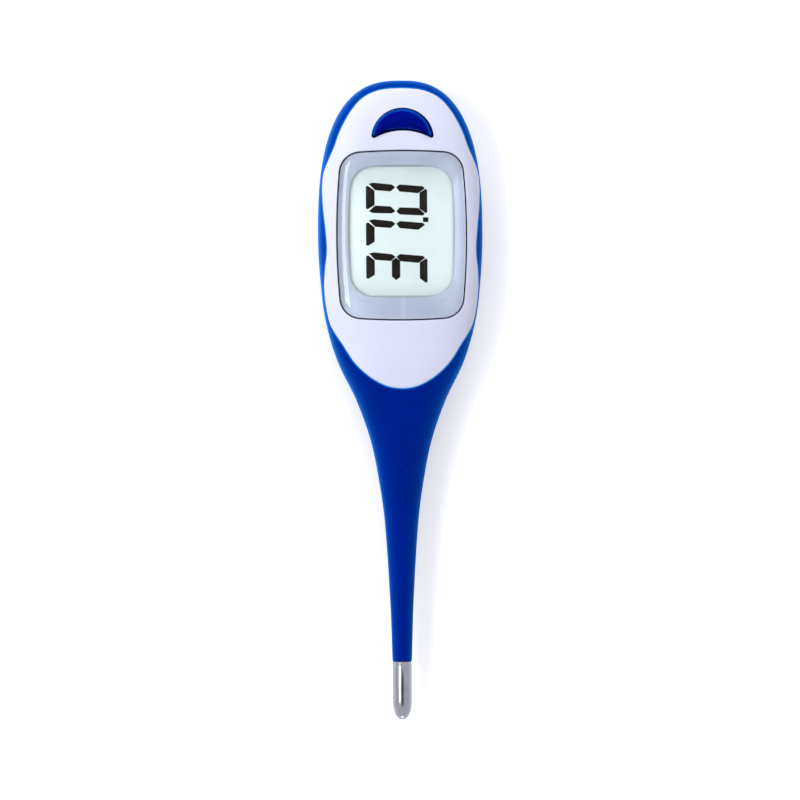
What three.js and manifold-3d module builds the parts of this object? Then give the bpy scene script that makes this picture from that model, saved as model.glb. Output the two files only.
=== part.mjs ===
// Digital thermometer with a large display and a soft one-piece grip, in millimetres.
// It lies on its back: +Z comes out of the display, +Y runs from the probe tip to the head.
// The centre of its length and width is at X = Y = 0, and its flat back is at Z = 0.

import * as THREE from 'three';
import { mergeVertices } from 'three/addons/utils/BufferGeometryUtils.js';
import Module from 'manifold-3d';

const wasm = await Module();
wasm.setup();

// Whole body
const overallLength = 140;
const headWidth = 36;
const crownLength = 34;
const taperLength = 93.3;
const housingLength = 80;
const housingFloor = 6;
const bellyDepth = 1.2;
const stemEndDiameter = 4.26;
const exposedCapLength = 12.7;

// The plan outline of the crown, its side outline and the cross-section are superellipses.
const crownPlanPowerShare = 2.6;
const crownSidePowerShare = 3.5;
const headSectionPowerShare = 3.2;
const stemSectionPowerShare = 2;

// Taper from the widest line to the stem: place along it, then width and thickness left.
const neckShares = [
  [0, 1, 1],
  [0.105, 0.969, 0.995],
  [0.199, 0.9, 0.947],
  [0.293, 0.742, 0.816],
  [0.387, 0.48, 0.612],
  [0.481, 0.287, 0.409],
  [0.575, 0.1745, 0.254],
  [0.669, 0.1, 0.148],
  [0.856, 0.029, 0.039],
  [1, 0, 0],
];

// Walls and clearances
const skinThickness = 1.7;
const shellWall = 1.6;
const panelWall = 1.8;
const fit = 0.3;
const seating = 0.15;

// White front panel: its outline as places along its length and shares of the body's width there
const panelTopMargin = 1.6;
const panelLength = 65.95;
const panelShares = [
  [0, 0],
  [0.0076, 0.5725],
  [0.0318, 0.7856],
  [0.0758, 0.8499],
  [0.1425, 0.8915],
  [0.194, 0.9097],
  [0.2365, 0.9475],
  [0.279, 0.9808],
  [0.332, 0.9821],
  [0.4, 0.9611],
  [0.4685, 0.9331],
  [0.54, 0.9202],
  [0.6065, 0.9558],
  [0.6655, 0.9787],
  [0.734, 0.9792],
  [0.7945, 0.9624],
  [0.855, 0.8673],
  [0.916, 0.7629],
  [0.963, 0.5751],
  [0.992, 0.3039],
  [1, 0],
];
const seamRise = 2.6;
const seamDepth = 3.4;
const seamApexRise = 8;
const seamFloorRise = 2.5;
const panelRimWidth = 1.7;
const panelHollowDepth = 5;

// Clear lens over the display and what it lies on
const lensSideMargin = 3.87;
const lensHalfLength = 18.45;
const lensCorner = 4.6;
const lensSideBow = 0.6;
const lensEndBow = 0.3;
const lensButtonDrop = 4.6;
const lensProud = 0.2;
const lensThickness = 1.2;
const bezelThickness = 0.4;
const bezelSkirtWall = 0.9;
const tapeThickness = 0.4;
const ledgeThickness = 1.1;
const lensRimWidth = 1.8;

// Display window in the bezel
const windowSideBorder = 2.78;
const windowTopBorder = 3.2;
const windowBottomBorder = 4.82;
const windowCorner = 3.2;
const windowSideBow = 0.3;
const windowEndBow = 0.2;

// Liquid crystal cell, its reflector, holder and rubber connectors
const displayDepth = 3.7;
const glassThickness = 0.95;
const glassSideOverlap = 0.65;
const glassEndOverlap = 0.16;
const glassContactStrip = 0.7;
const reflectorThickness = 0.2;
const reflectorEndGap = 0.6;
const holderHeight = 2.55;
const holderBorder = 0.6;
const holderCorner = 3;
const holderSideRail = 3.1;
const holderEndRail = 4.4;
const connectorEndMargin = 1.3;
const connectorSideMargin = 2;
const connectorHalfDepth = 0.7;

// Circuit board and what is on it
const boardCellGap = 0.95;
const boardThickness = 0.8;
const boardMargin = 0.45;
const boardTopBorder = 0.4;
const boardBottomBorder = 5.2;
const blobRadius = 4.5;
const blobHeight = 1.6;
const blobDrop = 3.86;
const capacitorSize = [3.2, 1.6, 1.2];
const capacitorOffset = [-4.5, 10];
const resistorSize = [2, 1.25, 0.6];
const resistorOffsets = [[4.5, 8.5], [4.5, 11.5]];

// Board screws and the posts of the front cover that they go into
const postRadius = 1.8;
const postBoreDepth = 4;
const upperPostWallGap = 3.12;
const upperPostRise = 1.1;
const lowerPostInset = 6.63;
const lowerPostDrop = 2.4;
const screwShankRadius = 0.8;
const screwHeadRadius = 1.5;
const screwHeadHeight = 1;
const boardScrewReach = 3.2;

// Crescent power button: two arcs, in shares of half the head's width, with round tips,
// and the dome switch under it
const buttonOuterShare = 0.3778;
const buttonInnerShare = 0.7056;
const buttonApartShare = 0.6;
const buttonTopMargin = 6;
const buttonTipRadius = 0.5;
const buttonProud = 0.4;
const buttonGap = 0.25;
const buttonFlangeWidth = 0.6;
const buttonFlangeHeight = 0.7;
const buttonFlangeDepth = 3.9;
const plungerRadius = 1.5;
const domeRadius = 3;
const domeHeight = 0.75;
const domeSheet = 0.25;

// Button cell, its well, contacts, door and door screw
const cellRadius = 3.95;
const cellHeight = 3.6;
const cellCapRadius = 3.2;
const cellCapHeight = 0.4;
const cellEdge = 0.35;
const cellDoorMargin = 2.55;
const wellClearance = 0.35;
const wellWall = 0.9;
const contactSheet = 0.25;
const contactHalfWidth = 1.5;
const contactLegDrop = 2.2;
const contactFoot = 3.4;
const contactReach = 6.5;
const doorHalfWidth = 7.2;
const doorHalfLength = 10.4;
const doorCorner = 3;
const doorTopMargin = 16;
const doorGasketSpace = 0.45;
const doorThickness = 1.3;
const doorGasketWidth = 1;
const doorGasketInset = 0.6;
const doorGasketThickness = 0.2;
const doorScrewMargin = 4;
const doorScrewWeb = 0.5;
const doorScrewHeadHeight = 0.55;
const doorScrewReach = 3.4;
const screwBossWall = 0.9;
const screwBossHeight = 2;

// Sounder: a thin disc on a ring rib
const sounderRadius = 6;
const sounderThickness = 0.45;
const sounderDoorGap = 5.7;
const sounderRibWidth = 0.9;
const sounderRibHeight = 0.6;

// Neck, stem and probe tip
const channelRadius = 1.25;
const stemBoreRadius = 0.95;
const capDiameter = 4.14;
const capWall = 0.32;
const capDomeLength = 4.2;
const spigotLength = 4;
const spigotRoot = 3;
const wireDiameter = 0.5;
const wireSpacing = 0.8;
const wireBoardSpacing = 3.2;
const wireBoardOverlap = 3;
const wireEndFromTip = 3.9;
const beadRadius = 0.6;
const beadLength = 2;
const pottingStart = 0.6;
const pottingLength = 3.5;

// How finely curves are cut into facets
const ringSteps = 24;
const crownSteps = 8;
const neckRingPitch = 5.2;
const seamSteps = 56;
const outlineSteps = 4;
const arcSteps = 5;
const roundSteps = 20;
const smallRoundSteps = 12;
const smallRadius = 3.2;
const wireSteps = 18;
const overrun = 5;
const probeStep = 0.01;
const mergeStep = 0.001;

// Heights worked out from the sizes above: the stack inside sets the body's thickness
const chassisInset = skinThickness + fit;
const cavityInset = chassisInset + shellWall;
const chassisFloorZ = cavityInset;
const doorFloorZ = chassisInset - doorGasketSpace;
const doorRecess = doorFloorZ - doorThickness;
const cellFloorZ = doorFloorZ + fit;
const cellTopZ = cellFloorZ + cellHeight;
const boardFloorZ = cellTopZ + boardCellGap;
const boardTopZ = boardFloorZ + boardThickness;
const holderFloorZ = boardTopZ + seating;
const holderTopZ = holderFloorZ + holderHeight;
const reflectorTopZ = holderTopZ + seating + reflectorThickness;
const displayFloorZ = reflectorTopZ + seating;
const displayTopZ = displayFloorZ + 2 * glassThickness;
const bodyThickness = displayTopZ + displayDepth;
const axisZ = bodyThickness / 2;
const buttonFlangeTopZ = bodyThickness - buttonFlangeDepth;
const lensFloorInset = lensThickness - lensProud;
const bezelInset = lensFloorInset + seating;
const bezelFloorInset = bezelInset + bezelThickness;
const tapeInset = bezelFloorInset + seating;
const tapeFloorInset = tapeInset + tapeThickness;
const ledgeInset = tapeFloorInset + seating;
const ledgeFloorInset = ledgeInset + ledgeThickness;

// Places along the body: the head's pieces hang from its top, the probe's from its tip
const headTopY = overallLength / 2;
const tipY = -overallLength / 2;
const widestY = headTopY - crownLength;
const stemEndY = tipY + exposedCapLength;
const neckEndY = headTopY - housingLength;
const innerNeckEndY = neckEndY + housingFloor;
const halfHead = headWidth / 2;
const boltBoreRadius = screwShankRadius + fit;
const capRadius = capDiameter / 2;
const spigotRadius = capRadius - capWall - fit;
const cutSpan = overallLength + headWidth;

const buttonOuterRadius = buttonOuterShare * halfHead;
const buttonInnerRadius = buttonInnerShare * halfHead;
const buttonOuterY = headTopY - buttonTopMargin - buttonOuterRadius;
const buttonInnerY = buttonOuterY - buttonApartShare * halfHead;
const plungerY = buttonInnerY + buttonInnerRadius + plungerRadius;

const lensTopY = buttonInnerY + buttonInnerRadius - lensButtonDrop;
const lensOutline = {
  halfWidth: halfHead - lensSideMargin,
  halfLength: lensHalfLength,
  corner: lensCorner,
  sideBow: lensSideBow,
  endBow: lensEndBow,
  y: lensTopY - lensHalfLength,
};
const windowHalfLength = lensHalfLength - (windowTopBorder + windowBottomBorder) / 2;
const windowOutline = {
  halfWidth: lensOutline.halfWidth - windowSideBorder,
  halfLength: windowHalfLength,
  corner: windowCorner,
  sideBow: windowSideBow,
  endBow: windowEndBow,
  y: lensTopY - windowTopBorder - windowHalfLength,
};
const displayY = windowOutline.y;
const glassHalfWidth = windowOutline.halfWidth + glassSideOverlap;
const frontGlassHalfLength = windowHalfLength + glassEndOverlap;
const rearGlassHalfLength = frontGlassHalfLength + glassContactStrip;
const connectorOffset = rearGlassHalfLength - connectorEndMargin;
const connectorHalfWidth = glassHalfWidth - connectorSideMargin;
const reflectorHalfLength = connectorOffset - connectorHalfDepth - reflectorEndGap;
const holderOutline = {
  halfWidth: glassHalfWidth + holderBorder,
  halfLength: rearGlassHalfLength + holderBorder,
  corner: holderCorner,
  y: displayY,
};

const upperPostY = lensTopY + upperPostRise;
const upperPostX = bodySection(upperPostY, cavityInset).halfWidth - upperPostWallGap;
const lowerPostX = lensOutline.halfWidth - lowerPostInset;
const lowerPostY = lensOutline.y - lensHalfLength - lowerPostDrop;
const boardScrewPlaces = [
  [-upperPostX, upperPostY],
  [upperPostX, upperPostY],
  [-lowerPostX, lowerPostY],
  [lowerPostX, lowerPostY],
];
const boardTopY = plungerY + domeRadius + boardTopBorder;
const boardBottomY = lowerPostY - boardBottomBorder;
const blobY = displayY - blobDrop;

const doorTopY = headTopY - doorTopMargin;
const doorOutline = {
  halfWidth: doorHalfWidth,
  halfLength: doorHalfLength,
  corner: doorCorner,
  y: doorTopY - doorHalfLength,
};
const cellY = doorTopY - cellDoorMargin - cellRadius;
const doorBottomY = doorTopY - 2 * doorHalfLength;
const doorScrewY = doorBottomY + doorScrewMargin;
const sounderY = doorBottomY - sounderDoorGap - sounderRadius;

// Colour, roughness and metalness of each finish
const finishes = {
  softRubber: { color: 0x05247f, roughness: 0.55, metalness: 0 },
  whitePlastic: { color: 0xe4e6f7, roughness: 0.35, metalness: 0 },
  chassisPlastic: { color: 0x2b3f86, roughness: 0.5, metalness: 0 },
  buttonPlastic: { color: 0x02189a, roughness: 0.4, metalness: 0 },
  clearPlastic: { color: 0xf2f6fa, roughness: 0.08, metalness: 0 },
  silverPaint: { color: 0xbcc8e0, roughness: 0.35, metalness: 0.6 },
  blackTape: { color: 0x1c1c22, roughness: 0.7, metalness: 0 },
  displayGlass: { color: 0xe4f2f6, roughness: 0.2, metalness: 0 },
  reflectorFilm: { color: 0xd8dcd8, roughness: 0.4, metalness: 0.5 },
  holderPlastic: { color: 0xeeeee8, roughness: 0.5, metalness: 0 },
  connectorRubber: { color: 0xd9a7a0, roughness: 0.7, metalness: 0 },
  boardLaminate: { color: 0x1f6b3a, roughness: 0.45, metalness: 0 },
  blackEpoxy: { color: 0x111111, roughness: 0.35, metalness: 0 },
  ceramicChip: { color: 0x9c7b52, roughness: 0.5, metalness: 0 },
  resistorBody: { color: 0x1a1a1c, roughness: 0.4, metalness: 0 },
  springSteel: { color: 0xc8c9cc, roughness: 0.25, metalness: 1 },
  zincSteel: { color: 0xa9adb2, roughness: 0.35, metalness: 1 },
  brass: { color: 0xc9a24f, roughness: 0.35, metalness: 1 },
  sealRubber: { color: 0x3a3a40, roughness: 0.8, metalness: 0 },
  redWire: { color: 0xb02020, roughness: 0.5, metalness: 0 },
  blackWire: { color: 0x202022, roughness: 0.5, metalness: 0 },
  stainlessSteel: { color: 0xb4b4be, roughness: 0.15, metalness: 1 },
  glassBead: { color: 0x27304a, roughness: 0.2, metalness: 0 },
  clearEpoxy: { color: 0xcbb98c, roughness: 0.3, metalness: 0 },
};

const thermometer = new THREE.Group();

function mix(low, high, share) {
  return low + (high - low) * share;
}

// Solids: a closed geometry becomes a solid that can be cut, and comes back as a geometry.
function toSolid(geometry) {
  const bare = geometry.clone();
  bare.deleteAttribute('normal');
  bare.deleteAttribute('uv');
  const merged = mergeVertices(bare, mergeStep);
  const index = merged.index.array;
  const triangles = [];
  for (let i = 0; i < index.length; i += 3) {
    const [a, b, c] = [index[i], index[i + 1], index[i + 2]];
    if (a !== b && b !== c && c !== a) triangles.push(a, b, c);
  }
  return new wasm.Manifold(new wasm.Mesh({
    numProp: 3,
    vertProperties: new Float32Array(merged.getAttribute('position').array),
    triVerts: new Uint32Array(triangles),
  }));
}

function toGeometry(solid) {
  const mesh = solid.getMesh();
  const geometry = new THREE.BufferGeometry();
  geometry.setAttribute('position', new THREE.BufferAttribute(mesh.vertProperties, 3));
  geometry.setIndex(new THREE.BufferAttribute(mesh.triVerts, 1));
  const faceted = geometry.toNonIndexed();
  faceted.computeVertexNormals();
  return faceted;
}

function addPart(name, solid, finish) {
  const mesh = new THREE.Mesh(toGeometry(solid), new THREE.MeshStandardMaterial(finishes[finish]));
  mesh.name = name;
  thermometer.add(mesh);
}

// A skin over rings of points, closed at each end by a fan to its tip point
function loft(rings, firstTip, lastTip) {
  const count = rings[0].length;
  const points = [...rings.flat(), firstTip, lastTip];
  const firstIndex = points.length - 2;
  const lastIndex = points.length - 1;
  const lastRing = (rings.length - 1) * count;
  const faces = [];
  for (let i = 0; i < count; i += 1) {
    const next = (i + 1) % count;
    for (let low = 0; low < lastRing; low += count) {
      const high = low + count;
      faces.push(low + i, low + next, high + next);
      faces.push(low + i, high + next, high + i);
    }
    faces.push(next, i, firstIndex);
    faces.push(lastRing + i, lastRing + next, lastIndex);
  }
  const geometry = new THREE.BufferGeometry().setFromPoints(points);
  geometry.setIndex(faces);
  return toSolid(geometry);
}

function stepsAround(radius) {
  return radius < smallRadius ? smallRoundSteps : roundSteps;
}

function prism(shape, lowZ, highZ) {
  const settings = { depth: highZ - lowZ, bevelEnabled: false, curveSegments: outlineSteps };
  const geometry = new THREE.ExtrudeGeometry(shape, settings);
  geometry.translate(0, 0, lowZ);
  return toSolid(geometry);
}

function block(sizeX, sizeY, sizeZ, x, y, z) {
  const geometry = new THREE.BoxGeometry(sizeX, sizeY, sizeZ);
  geometry.translate(x, y, z);
  return toSolid(geometry);
}

function post(radius, x, y, lowZ, highZ) {
  const geometry = new THREE.CylinderGeometry(radius, radius, highZ - lowZ, stepsAround(radius));
  geometry.rotateX(Math.PI / 2);
  geometry.translate(x, y, (lowZ + highZ) / 2);
  return toSolid(geometry);
}

function rod(radius, lowY, highY) {
  const geometry = new THREE.CylinderGeometry(radius, radius, highY - lowY, stepsAround(radius));
  geometry.translate(0, (lowY + highY) / 2, axisZ);
  return toSolid(geometry);
}

function above(z) {
  return block(cutSpan, cutSpan, cutSpan, 0, 0, z + cutSpan / 2);
}

function below(z) {
  return block(cutSpan, cutSpan, cutSpan, 0, 0, z - cutSpan / 2);
}

// A profile of radius and height pairs, turned about a vertical line through x, y
function turned(profile, x, y) {
  const points = profile.map(([radius, height]) => new THREE.Vector2(radius, height));
  const widest = Math.max(...profile.map(([radius]) => radius));
  const geometry = new THREE.LatheGeometry(points, stepsAround(widest));
  geometry.rotateX(Math.PI / 2);
  geometry.translate(x, y, 0);
  return toSolid(geometry);
}

// A rounded rectangle whose sides bow outwards; margin makes it larger all round
function outlineShape(outline, margin) {
  const { sideBow, endBow, y: centre } = outline;
  const x = outline.halfWidth + margin - sideBow;
  const y = outline.halfLength + margin - endBow;
  const corner = outline.corner + margin;
  const shape = new THREE.Shape();
  shape.moveTo(x, centre - y + corner);
  shape.quadraticCurveTo(x + 2 * sideBow, centre, x, centre + y - corner);
  shape.absarc(x - corner, centre + y - corner, corner, 0, Math.PI / 2);
  shape.quadraticCurveTo(0, centre + y + 2 * endBow, corner - x, centre + y);
  shape.absarc(corner - x, centre + y - corner, corner, Math.PI / 2, Math.PI);
  shape.quadraticCurveTo(-x - 2 * sideBow, centre, -x, centre - y + corner);
  shape.absarc(corner - x, centre - y + corner, corner, Math.PI, 1.5 * Math.PI);
  shape.quadraticCurveTo(0, centre - y - 2 * endBow, x - corner, centre - y);
  shape.absarc(x - corner, centre - y + corner, corner, 1.5 * Math.PI, 2 * Math.PI);
  return shape;
}

function straightShape(outline, margin) {
  const x = outline.halfWidth + margin;
  const y = outline.halfLength + margin;
  const corner = outline.corner + margin;
  const centre = outline.y;
  const shape = new THREE.Shape();
  shape.absarc(x - corner, centre + y - corner, corner, 0, Math.PI / 2);
  shape.absarc(corner - x, centre + y - corner, corner, Math.PI / 2, Math.PI);
  shape.absarc(corner - x, centre - y + corner, corner, Math.PI, 1.5 * Math.PI);
  shape.absarc(x - corner, centre - y + corner, corner, 1.5 * Math.PI, 2 * Math.PI);
  return shape;
}

function rectangle(halfWidth, halfLength, corner, y) {
  return straightShape({ halfWidth, halfLength, corner, y }, 0);
}

// Smooth curve through one column of the neck's shares, level where it meets the crown
function neckShare(along, column) {
  const last = neckShares.length - 1;
  const at = (i) => neckShares[Math.min(Math.max(i, 0), last)];
  const slope = (i) => {
    const [before, after] = [at(i - 1), at(i + 1)];
    return i <= 0 ? 0 : (after[column] - before[column]) / (after[0] - before[0]);
  };
  let i = 0;
  while (i < last - 1 && along > neckShares[i + 1][0]) i += 1;
  const [start, end] = [at(i), at(i + 1)];
  const span = end[0] - start[0];
  const t = Math.min(1, (along - start[0]) / span);
  const rise = t * t * (3 - 2 * t);
  const leave = t * (1 - t) * (1 - t) * span * slope(i);
  const arrive = t * t * (t - 1) * span * slope(i + 1);
  return mix(start[column], end[column], rise) + leave + arrive;
}

function crownShare(along, power) {
  return Math.pow(Math.max(0, 1 - Math.pow(along, power)), 1 / power);
}

// Half width, height over the axis, depth under it and roundness of the body at one place
function bodySection(y, inset) {
  const halfStem = stemEndDiameter / 2;
  if (y >= widestY) {
    const along = Math.min(1, (y - widestY) / (crownLength - inset));
    const plan = crownShare(along, crownPlanPowerShare);
    const side = crownShare(along, crownSidePowerShare);
    return {
      halfWidth: (halfHead - inset) * plan,
      up: (axisZ - inset) * side,
      down: (axisZ + bellyDepth - inset) * side,
      power: headSectionPowerShare,
    };
  }
  const along = (widestY - y) / taperLength;
  const depth = neckShare(along, 2);
  const up = mix(halfStem, axisZ, depth) - inset;
  return {
    halfWidth: mix(halfStem, halfHead, neckShare(along, 1)) - inset,
    up,
    down: up + bellyDepth * depth,
    power: mix(stemSectionPowerShare, headSectionPowerShare, depth),
  };
}

function bodyRing(y, inset) {
  const { halfWidth, up, down, power } = bodySection(y, inset);
  const ring = [];
  for (let i = 0; i < ringSteps; i += 1) {
    const angle = (i / ringSteps) * 2 * Math.PI;
    const [side, rise] = [Math.sin(angle), Math.cos(angle)];
    const sum = Math.pow(Math.abs(side), power) + Math.pow(Math.abs(rise), power);
    const reach = Math.pow(sum, -1 / power);
    const height = rise > 0 ? up : down;
    ring.push(new THREE.Vector3(side * reach * halfWidth, y, axisZ + rise * reach * height));
  }
  return ring;
}

// The body's outer form drawn in by an inset, from an end of the neck up to the head's top
function bodyForm(inset, lowEndY) {
  const rings = [bodyRing(lowEndY, inset)];
  const neckRings = Math.ceil((widestY - lowEndY) / neckRingPitch) - 1;
  for (let i = neckRings; i > 0; i -= 1) {
    rings.push(bodyRing(widestY - i * neckRingPitch, inset));
  }
  for (let i = 0; i < crownSteps; i += 1) {
    const along = Math.sin((i / crownSteps) * (Math.PI / 2));
    rings.push(bodyRing(widestY + (crownLength - inset) * along, inset));
  }
  const firstTip = new THREE.Vector3(0, lowEndY, axisZ);
  const lastTip = new THREE.Vector3(0, headTopY - inset, axisZ);
  return loft(rings, firstTip, lastTip).intersect(above(inset));
}

const headForms = new Map();
function headForm(inset) {
  if (!headForms.has(inset)) headForms.set(inset, bodyForm(inset, innerNeckEndY));
  return headForms.get(inset);
}

// Front surface of the body: its height at a point, and how far outside it a point lies
function surfaceHeight(x, y) {
  const { halfWidth, up, power } = bodySection(y, 0);
  const left = Math.max(0, 1 - Math.pow(Math.abs(x) / halfWidth, power));
  return axisZ + up * Math.pow(left, 1 / power);
}

function outsideShare(x, y, z) {
  const { halfWidth, up, power } = bodySection(y, 0);
  return Math.pow(Math.abs(x) / halfWidth, power) + Math.pow((z - axisZ) / up, power) - 1;
}

function surfaceNormal({ x, y, z }) {
  const here = outsideShare(x, y, z);
  return new THREE.Vector3(
    outsideShare(x + probeStep, y, z) - here,
    outsideShare(x, y + probeStep, z) - here,
    outsideShare(x, y, z + probeStep) - here,
  ).normalize();
}

// The seam of the white panel, as points on the front surface with the surface's directions
function panelSeam() {
  const topY = headTopY - panelTopMargin;
  const place = (side) => ([along, width]) => {
    const y = topY - along * panelLength;
    return new THREE.Vector3(side * width * bodySection(y, 0).halfWidth, y, 0);
  };
  const left = panelShares.map(place(-1));
  const right = panelShares.slice(1, -1).reverse().map(place(1));
  const curve = new THREE.CatmullRomCurve3([...left, ...right], true, 'centripetal');
  const points = curve.getSpacedPoints(seamSteps).slice(0, seamSteps);
  points.forEach((point) => point.setZ(surfaceHeight(point.x, point.y)));
  return points.map((point, i) => {
    const before = points[(i + seamSteps - 1) % seamSteps];
    const after = points[(i + 1) % seamSteps];
    const normal = surfaceNormal(point);
    const outward = after.clone().sub(before).cross(normal).normalize();
    return { point, normal, outward };
  });
}

// A plug that cuts square to the curved surface along the seam, grown sideways by a margin
function panelPlug(margin, depth) {
  const ringAt = (rise) => panelSeam().map(({ point, normal, outward }) => (
    point.clone().addScaledVector(outward, margin).addScaledVector(normal, rise)
  ));
  const rises = [-depth, -depth / 2, 0, seamRise];
  const floorTip = new THREE.Vector3(0, lensOutline.y, axisZ + seamFloorRise);
  const topTip = new THREE.Vector3(0, lensOutline.y, bodyThickness + seamApexRise);
  return loft(rises.map(ringAt), floorTip, topTip);
}

// Crescent of the button: outer arc, inner arc and round tips that touch both
function crescentShape(margin) {
  const outer = buttonOuterRadius - buttonTipRadius;
  const inner = buttonInnerRadius + buttonTipRadius;
  const apart = buttonOuterY - buttonInnerY;
  const tipRise = (inner * inner - outer * outer - apart * apart) / (2 * apart);
  const tipX = Math.sqrt(outer * outer - tipRise * tipRise);
  const tipCentreY = buttonOuterY + tipRise;
  const outerAngle = Math.atan2(tipRise, tipX);
  const innerAngle = Math.atan2(tipRise + apart, tipX);
  const tip = buttonTipRadius + margin;
  const shape = new THREE.Shape();
  shape.absarc(0, buttonOuterY, buttonOuterRadius + margin, outerAngle, Math.PI - outerAngle);
  shape.absarc(-tipX, tipCentreY, tip, Math.PI - outerAngle, 2 * Math.PI - innerAngle);
  shape.absarc(0, buttonInnerY, buttonInnerRadius - margin, Math.PI - innerAngle, innerAngle, true);
  shape.absarc(tipX, tipCentreY, tip, Math.PI + innerAngle, 2 * Math.PI + outerAngle);
  return shape;
}

function wireChannel(radius, lowY) {
  return rod(radius, lowY, innerNeckEndY + overrun);
}

function makeSoftBody() {
  const spigot = rod(spigotRadius, stemEndY - spigotLength, stemEndY + spigotRoot);
  const pocket = bodyForm(skinThickness, neckEndY - fit);
  const bore = rod(stemBoreRadius, stemEndY - spigotLength - overrun, neckEndY + overrun);
  const doorway = prism(straightShape(doorOutline, fit), -overrun, chassisInset);
  const body = bodyForm(0, stemEndY)
    .add(spigot)
    .subtract(pocket)
    .subtract(panelPlug(fit / 2, seamDepth))
    .subtract(doorway)
    .subtract(bore);
  addPart('soft_body', body, 'softRubber');
}

function boardPosts() {
  const floor = boardTopZ + fit;
  return boardScrewPlaces.map(([x, y]) => (
    post(postRadius, x, y, floor, bodyThickness)
      .subtract(post(boltBoreRadius, x, y, floor - overrun, floor + postBoreDepth))
  ));
}

function makeFrontCover() {
  const hollow = headForm(cavityInset)
    .add(headForm(panelWall).intersect(panelPlug(-panelRimWidth, panelHollowDepth)))
    .add(wireChannel(channelRadius, neckEndY - overrun));
  const lensSeat = prism(outlineShape(lensOutline, fit / 2), axisZ, bodyThickness + overrun)
    .subtract(headForm(ledgeInset));
  const skirtHoleShape = outlineShape(windowOutline, bezelSkirtWall + fit);
  const displayHole = prism(skirtHoleShape, axisZ - overrun, bodyThickness + overrun)
    .add(glassBlock(rearGlassHalfLength, fit, axisZ - overrun, bodyThickness))
    .add(prism(straightShape(holderOutline, fit), axisZ, holderTopZ + seating));
  const buttonHole = prism(crescentShape(buttonGap), buttonFlangeTopZ, bodyThickness + overrun);
  const outside = bodyForm(0, neckEndY)
    .intersect(panelPlug(-fit / 2, seamDepth))
    .add(bodyForm(chassisInset, neckEndY));
  let inside = prism(outlineShape(lensOutline, lensRimWidth), axisZ, bodyThickness)
    .subtract(headForm(ledgeFloorInset));
  boardPosts().forEach((solid) => {
    inside = inside.add(solid);
  });
  const cover = outside
    .intersect(above(axisZ + fit / 2))
    .subtract(hollow)
    .add(inside.intersect(outside))
    .subtract(lensSeat)
    .subtract(displayHole)
    .subtract(buttonHole);
  addPart('front_cover', cover, 'whitePlastic');
}

function makeRearChassis() {
  const wellRadius = cellRadius + wellClearance;
  const wellTopZ = boardFloorZ - seating - contactSheet - fit;
  const bossTopZ = chassisFloorZ + screwBossHeight;
  const ribInner = sounderRadius - sounderRibWidth;
  const contactSlot = block(
    2 * (contactHalfWidth + fit),
    wellWall + 2 * fit,
    cutSpan,
    0,
    cellY + wellRadius + wellWall / 2,
    chassisFloorZ + cutSpan / 2,
  );
  const rib = post(sounderRadius, 0, sounderY, chassisInset, chassisFloorZ + sounderRibHeight)
    .subtract(post(ribInner, 0, sounderY, chassisFloorZ, bodyThickness));
  const boss = post(boltBoreRadius + screwBossWall, 0, doorScrewY, chassisInset, bossTopZ);
  const boltBore = post(boltBoreRadius, 0, doorScrewY, -overrun, bossTopZ - screwBossWall);
  const well = post(wellRadius + wellWall, 0, cellY, chassisInset, wellTopZ);
  const chassis = bodyForm(chassisInset, neckEndY)
    .intersect(below(axisZ - fit / 2))
    .subtract(headForm(cavityInset))
    .subtract(wireChannel(channelRadius, neckEndY - overrun))
    .add(rib)
    .add(boss)
    .add(well)
    .subtract(post(wellRadius, 0, cellY, -overrun, bodyThickness))
    .subtract(contactSlot)
    .subtract(boltBore);
  addPart('rear_chassis', chassis, 'chassisPlastic');
}

function makeLensStack() {
  const lens = prism(outlineShape(lensOutline, 0), axisZ, bodyThickness + overrun)
    .intersect(headForm(-lensProud))
    .subtract(headForm(lensFloorInset));
  addPart('lens', lens, 'clearPlastic');

  const windowHole = prism(outlineShape(windowOutline, 0), 0, bodyThickness + overrun);
  const skirtOutline = outlineShape(windowOutline, bezelSkirtWall);
  const skirt = prism(skirtOutline, displayTopZ + seating, bodyThickness)
    .intersect(headForm(bezelInset));
  const bezel = prism(outlineShape(lensOutline, -fit), axisZ, bodyThickness)
    .intersect(headForm(bezelInset))
    .subtract(headForm(bezelFloorInset))
    .subtract(glassBlock(frontGlassHalfLength, seating, axisZ, displayTopZ + seating))
    .add(skirt)
    .subtract(windowHole);
  addPart('display_bezel', bezel, 'silverPaint');

  const tapeHole = prism(outlineShape(windowOutline, bezelSkirtWall + fit), 0, bodyThickness)
    .add(glassBlock(frontGlassHalfLength, seating, axisZ, bodyThickness));
  const tape = prism(outlineShape(lensOutline, -fit), axisZ, bodyThickness)
    .intersect(headForm(tapeInset))
    .subtract(headForm(tapeFloorInset))
    .subtract(tapeHole);
  addPart('lens_gasket', tape, 'blackTape');
}

function glassBlock(halfLength, margin, lowZ, highZ) {
  const width = 2 * (glassHalfWidth + margin);
  const length = 2 * (halfLength + margin);
  return block(width, length, highZ - lowZ, 0, displayY, (lowZ + highZ) / 2);
}

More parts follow.
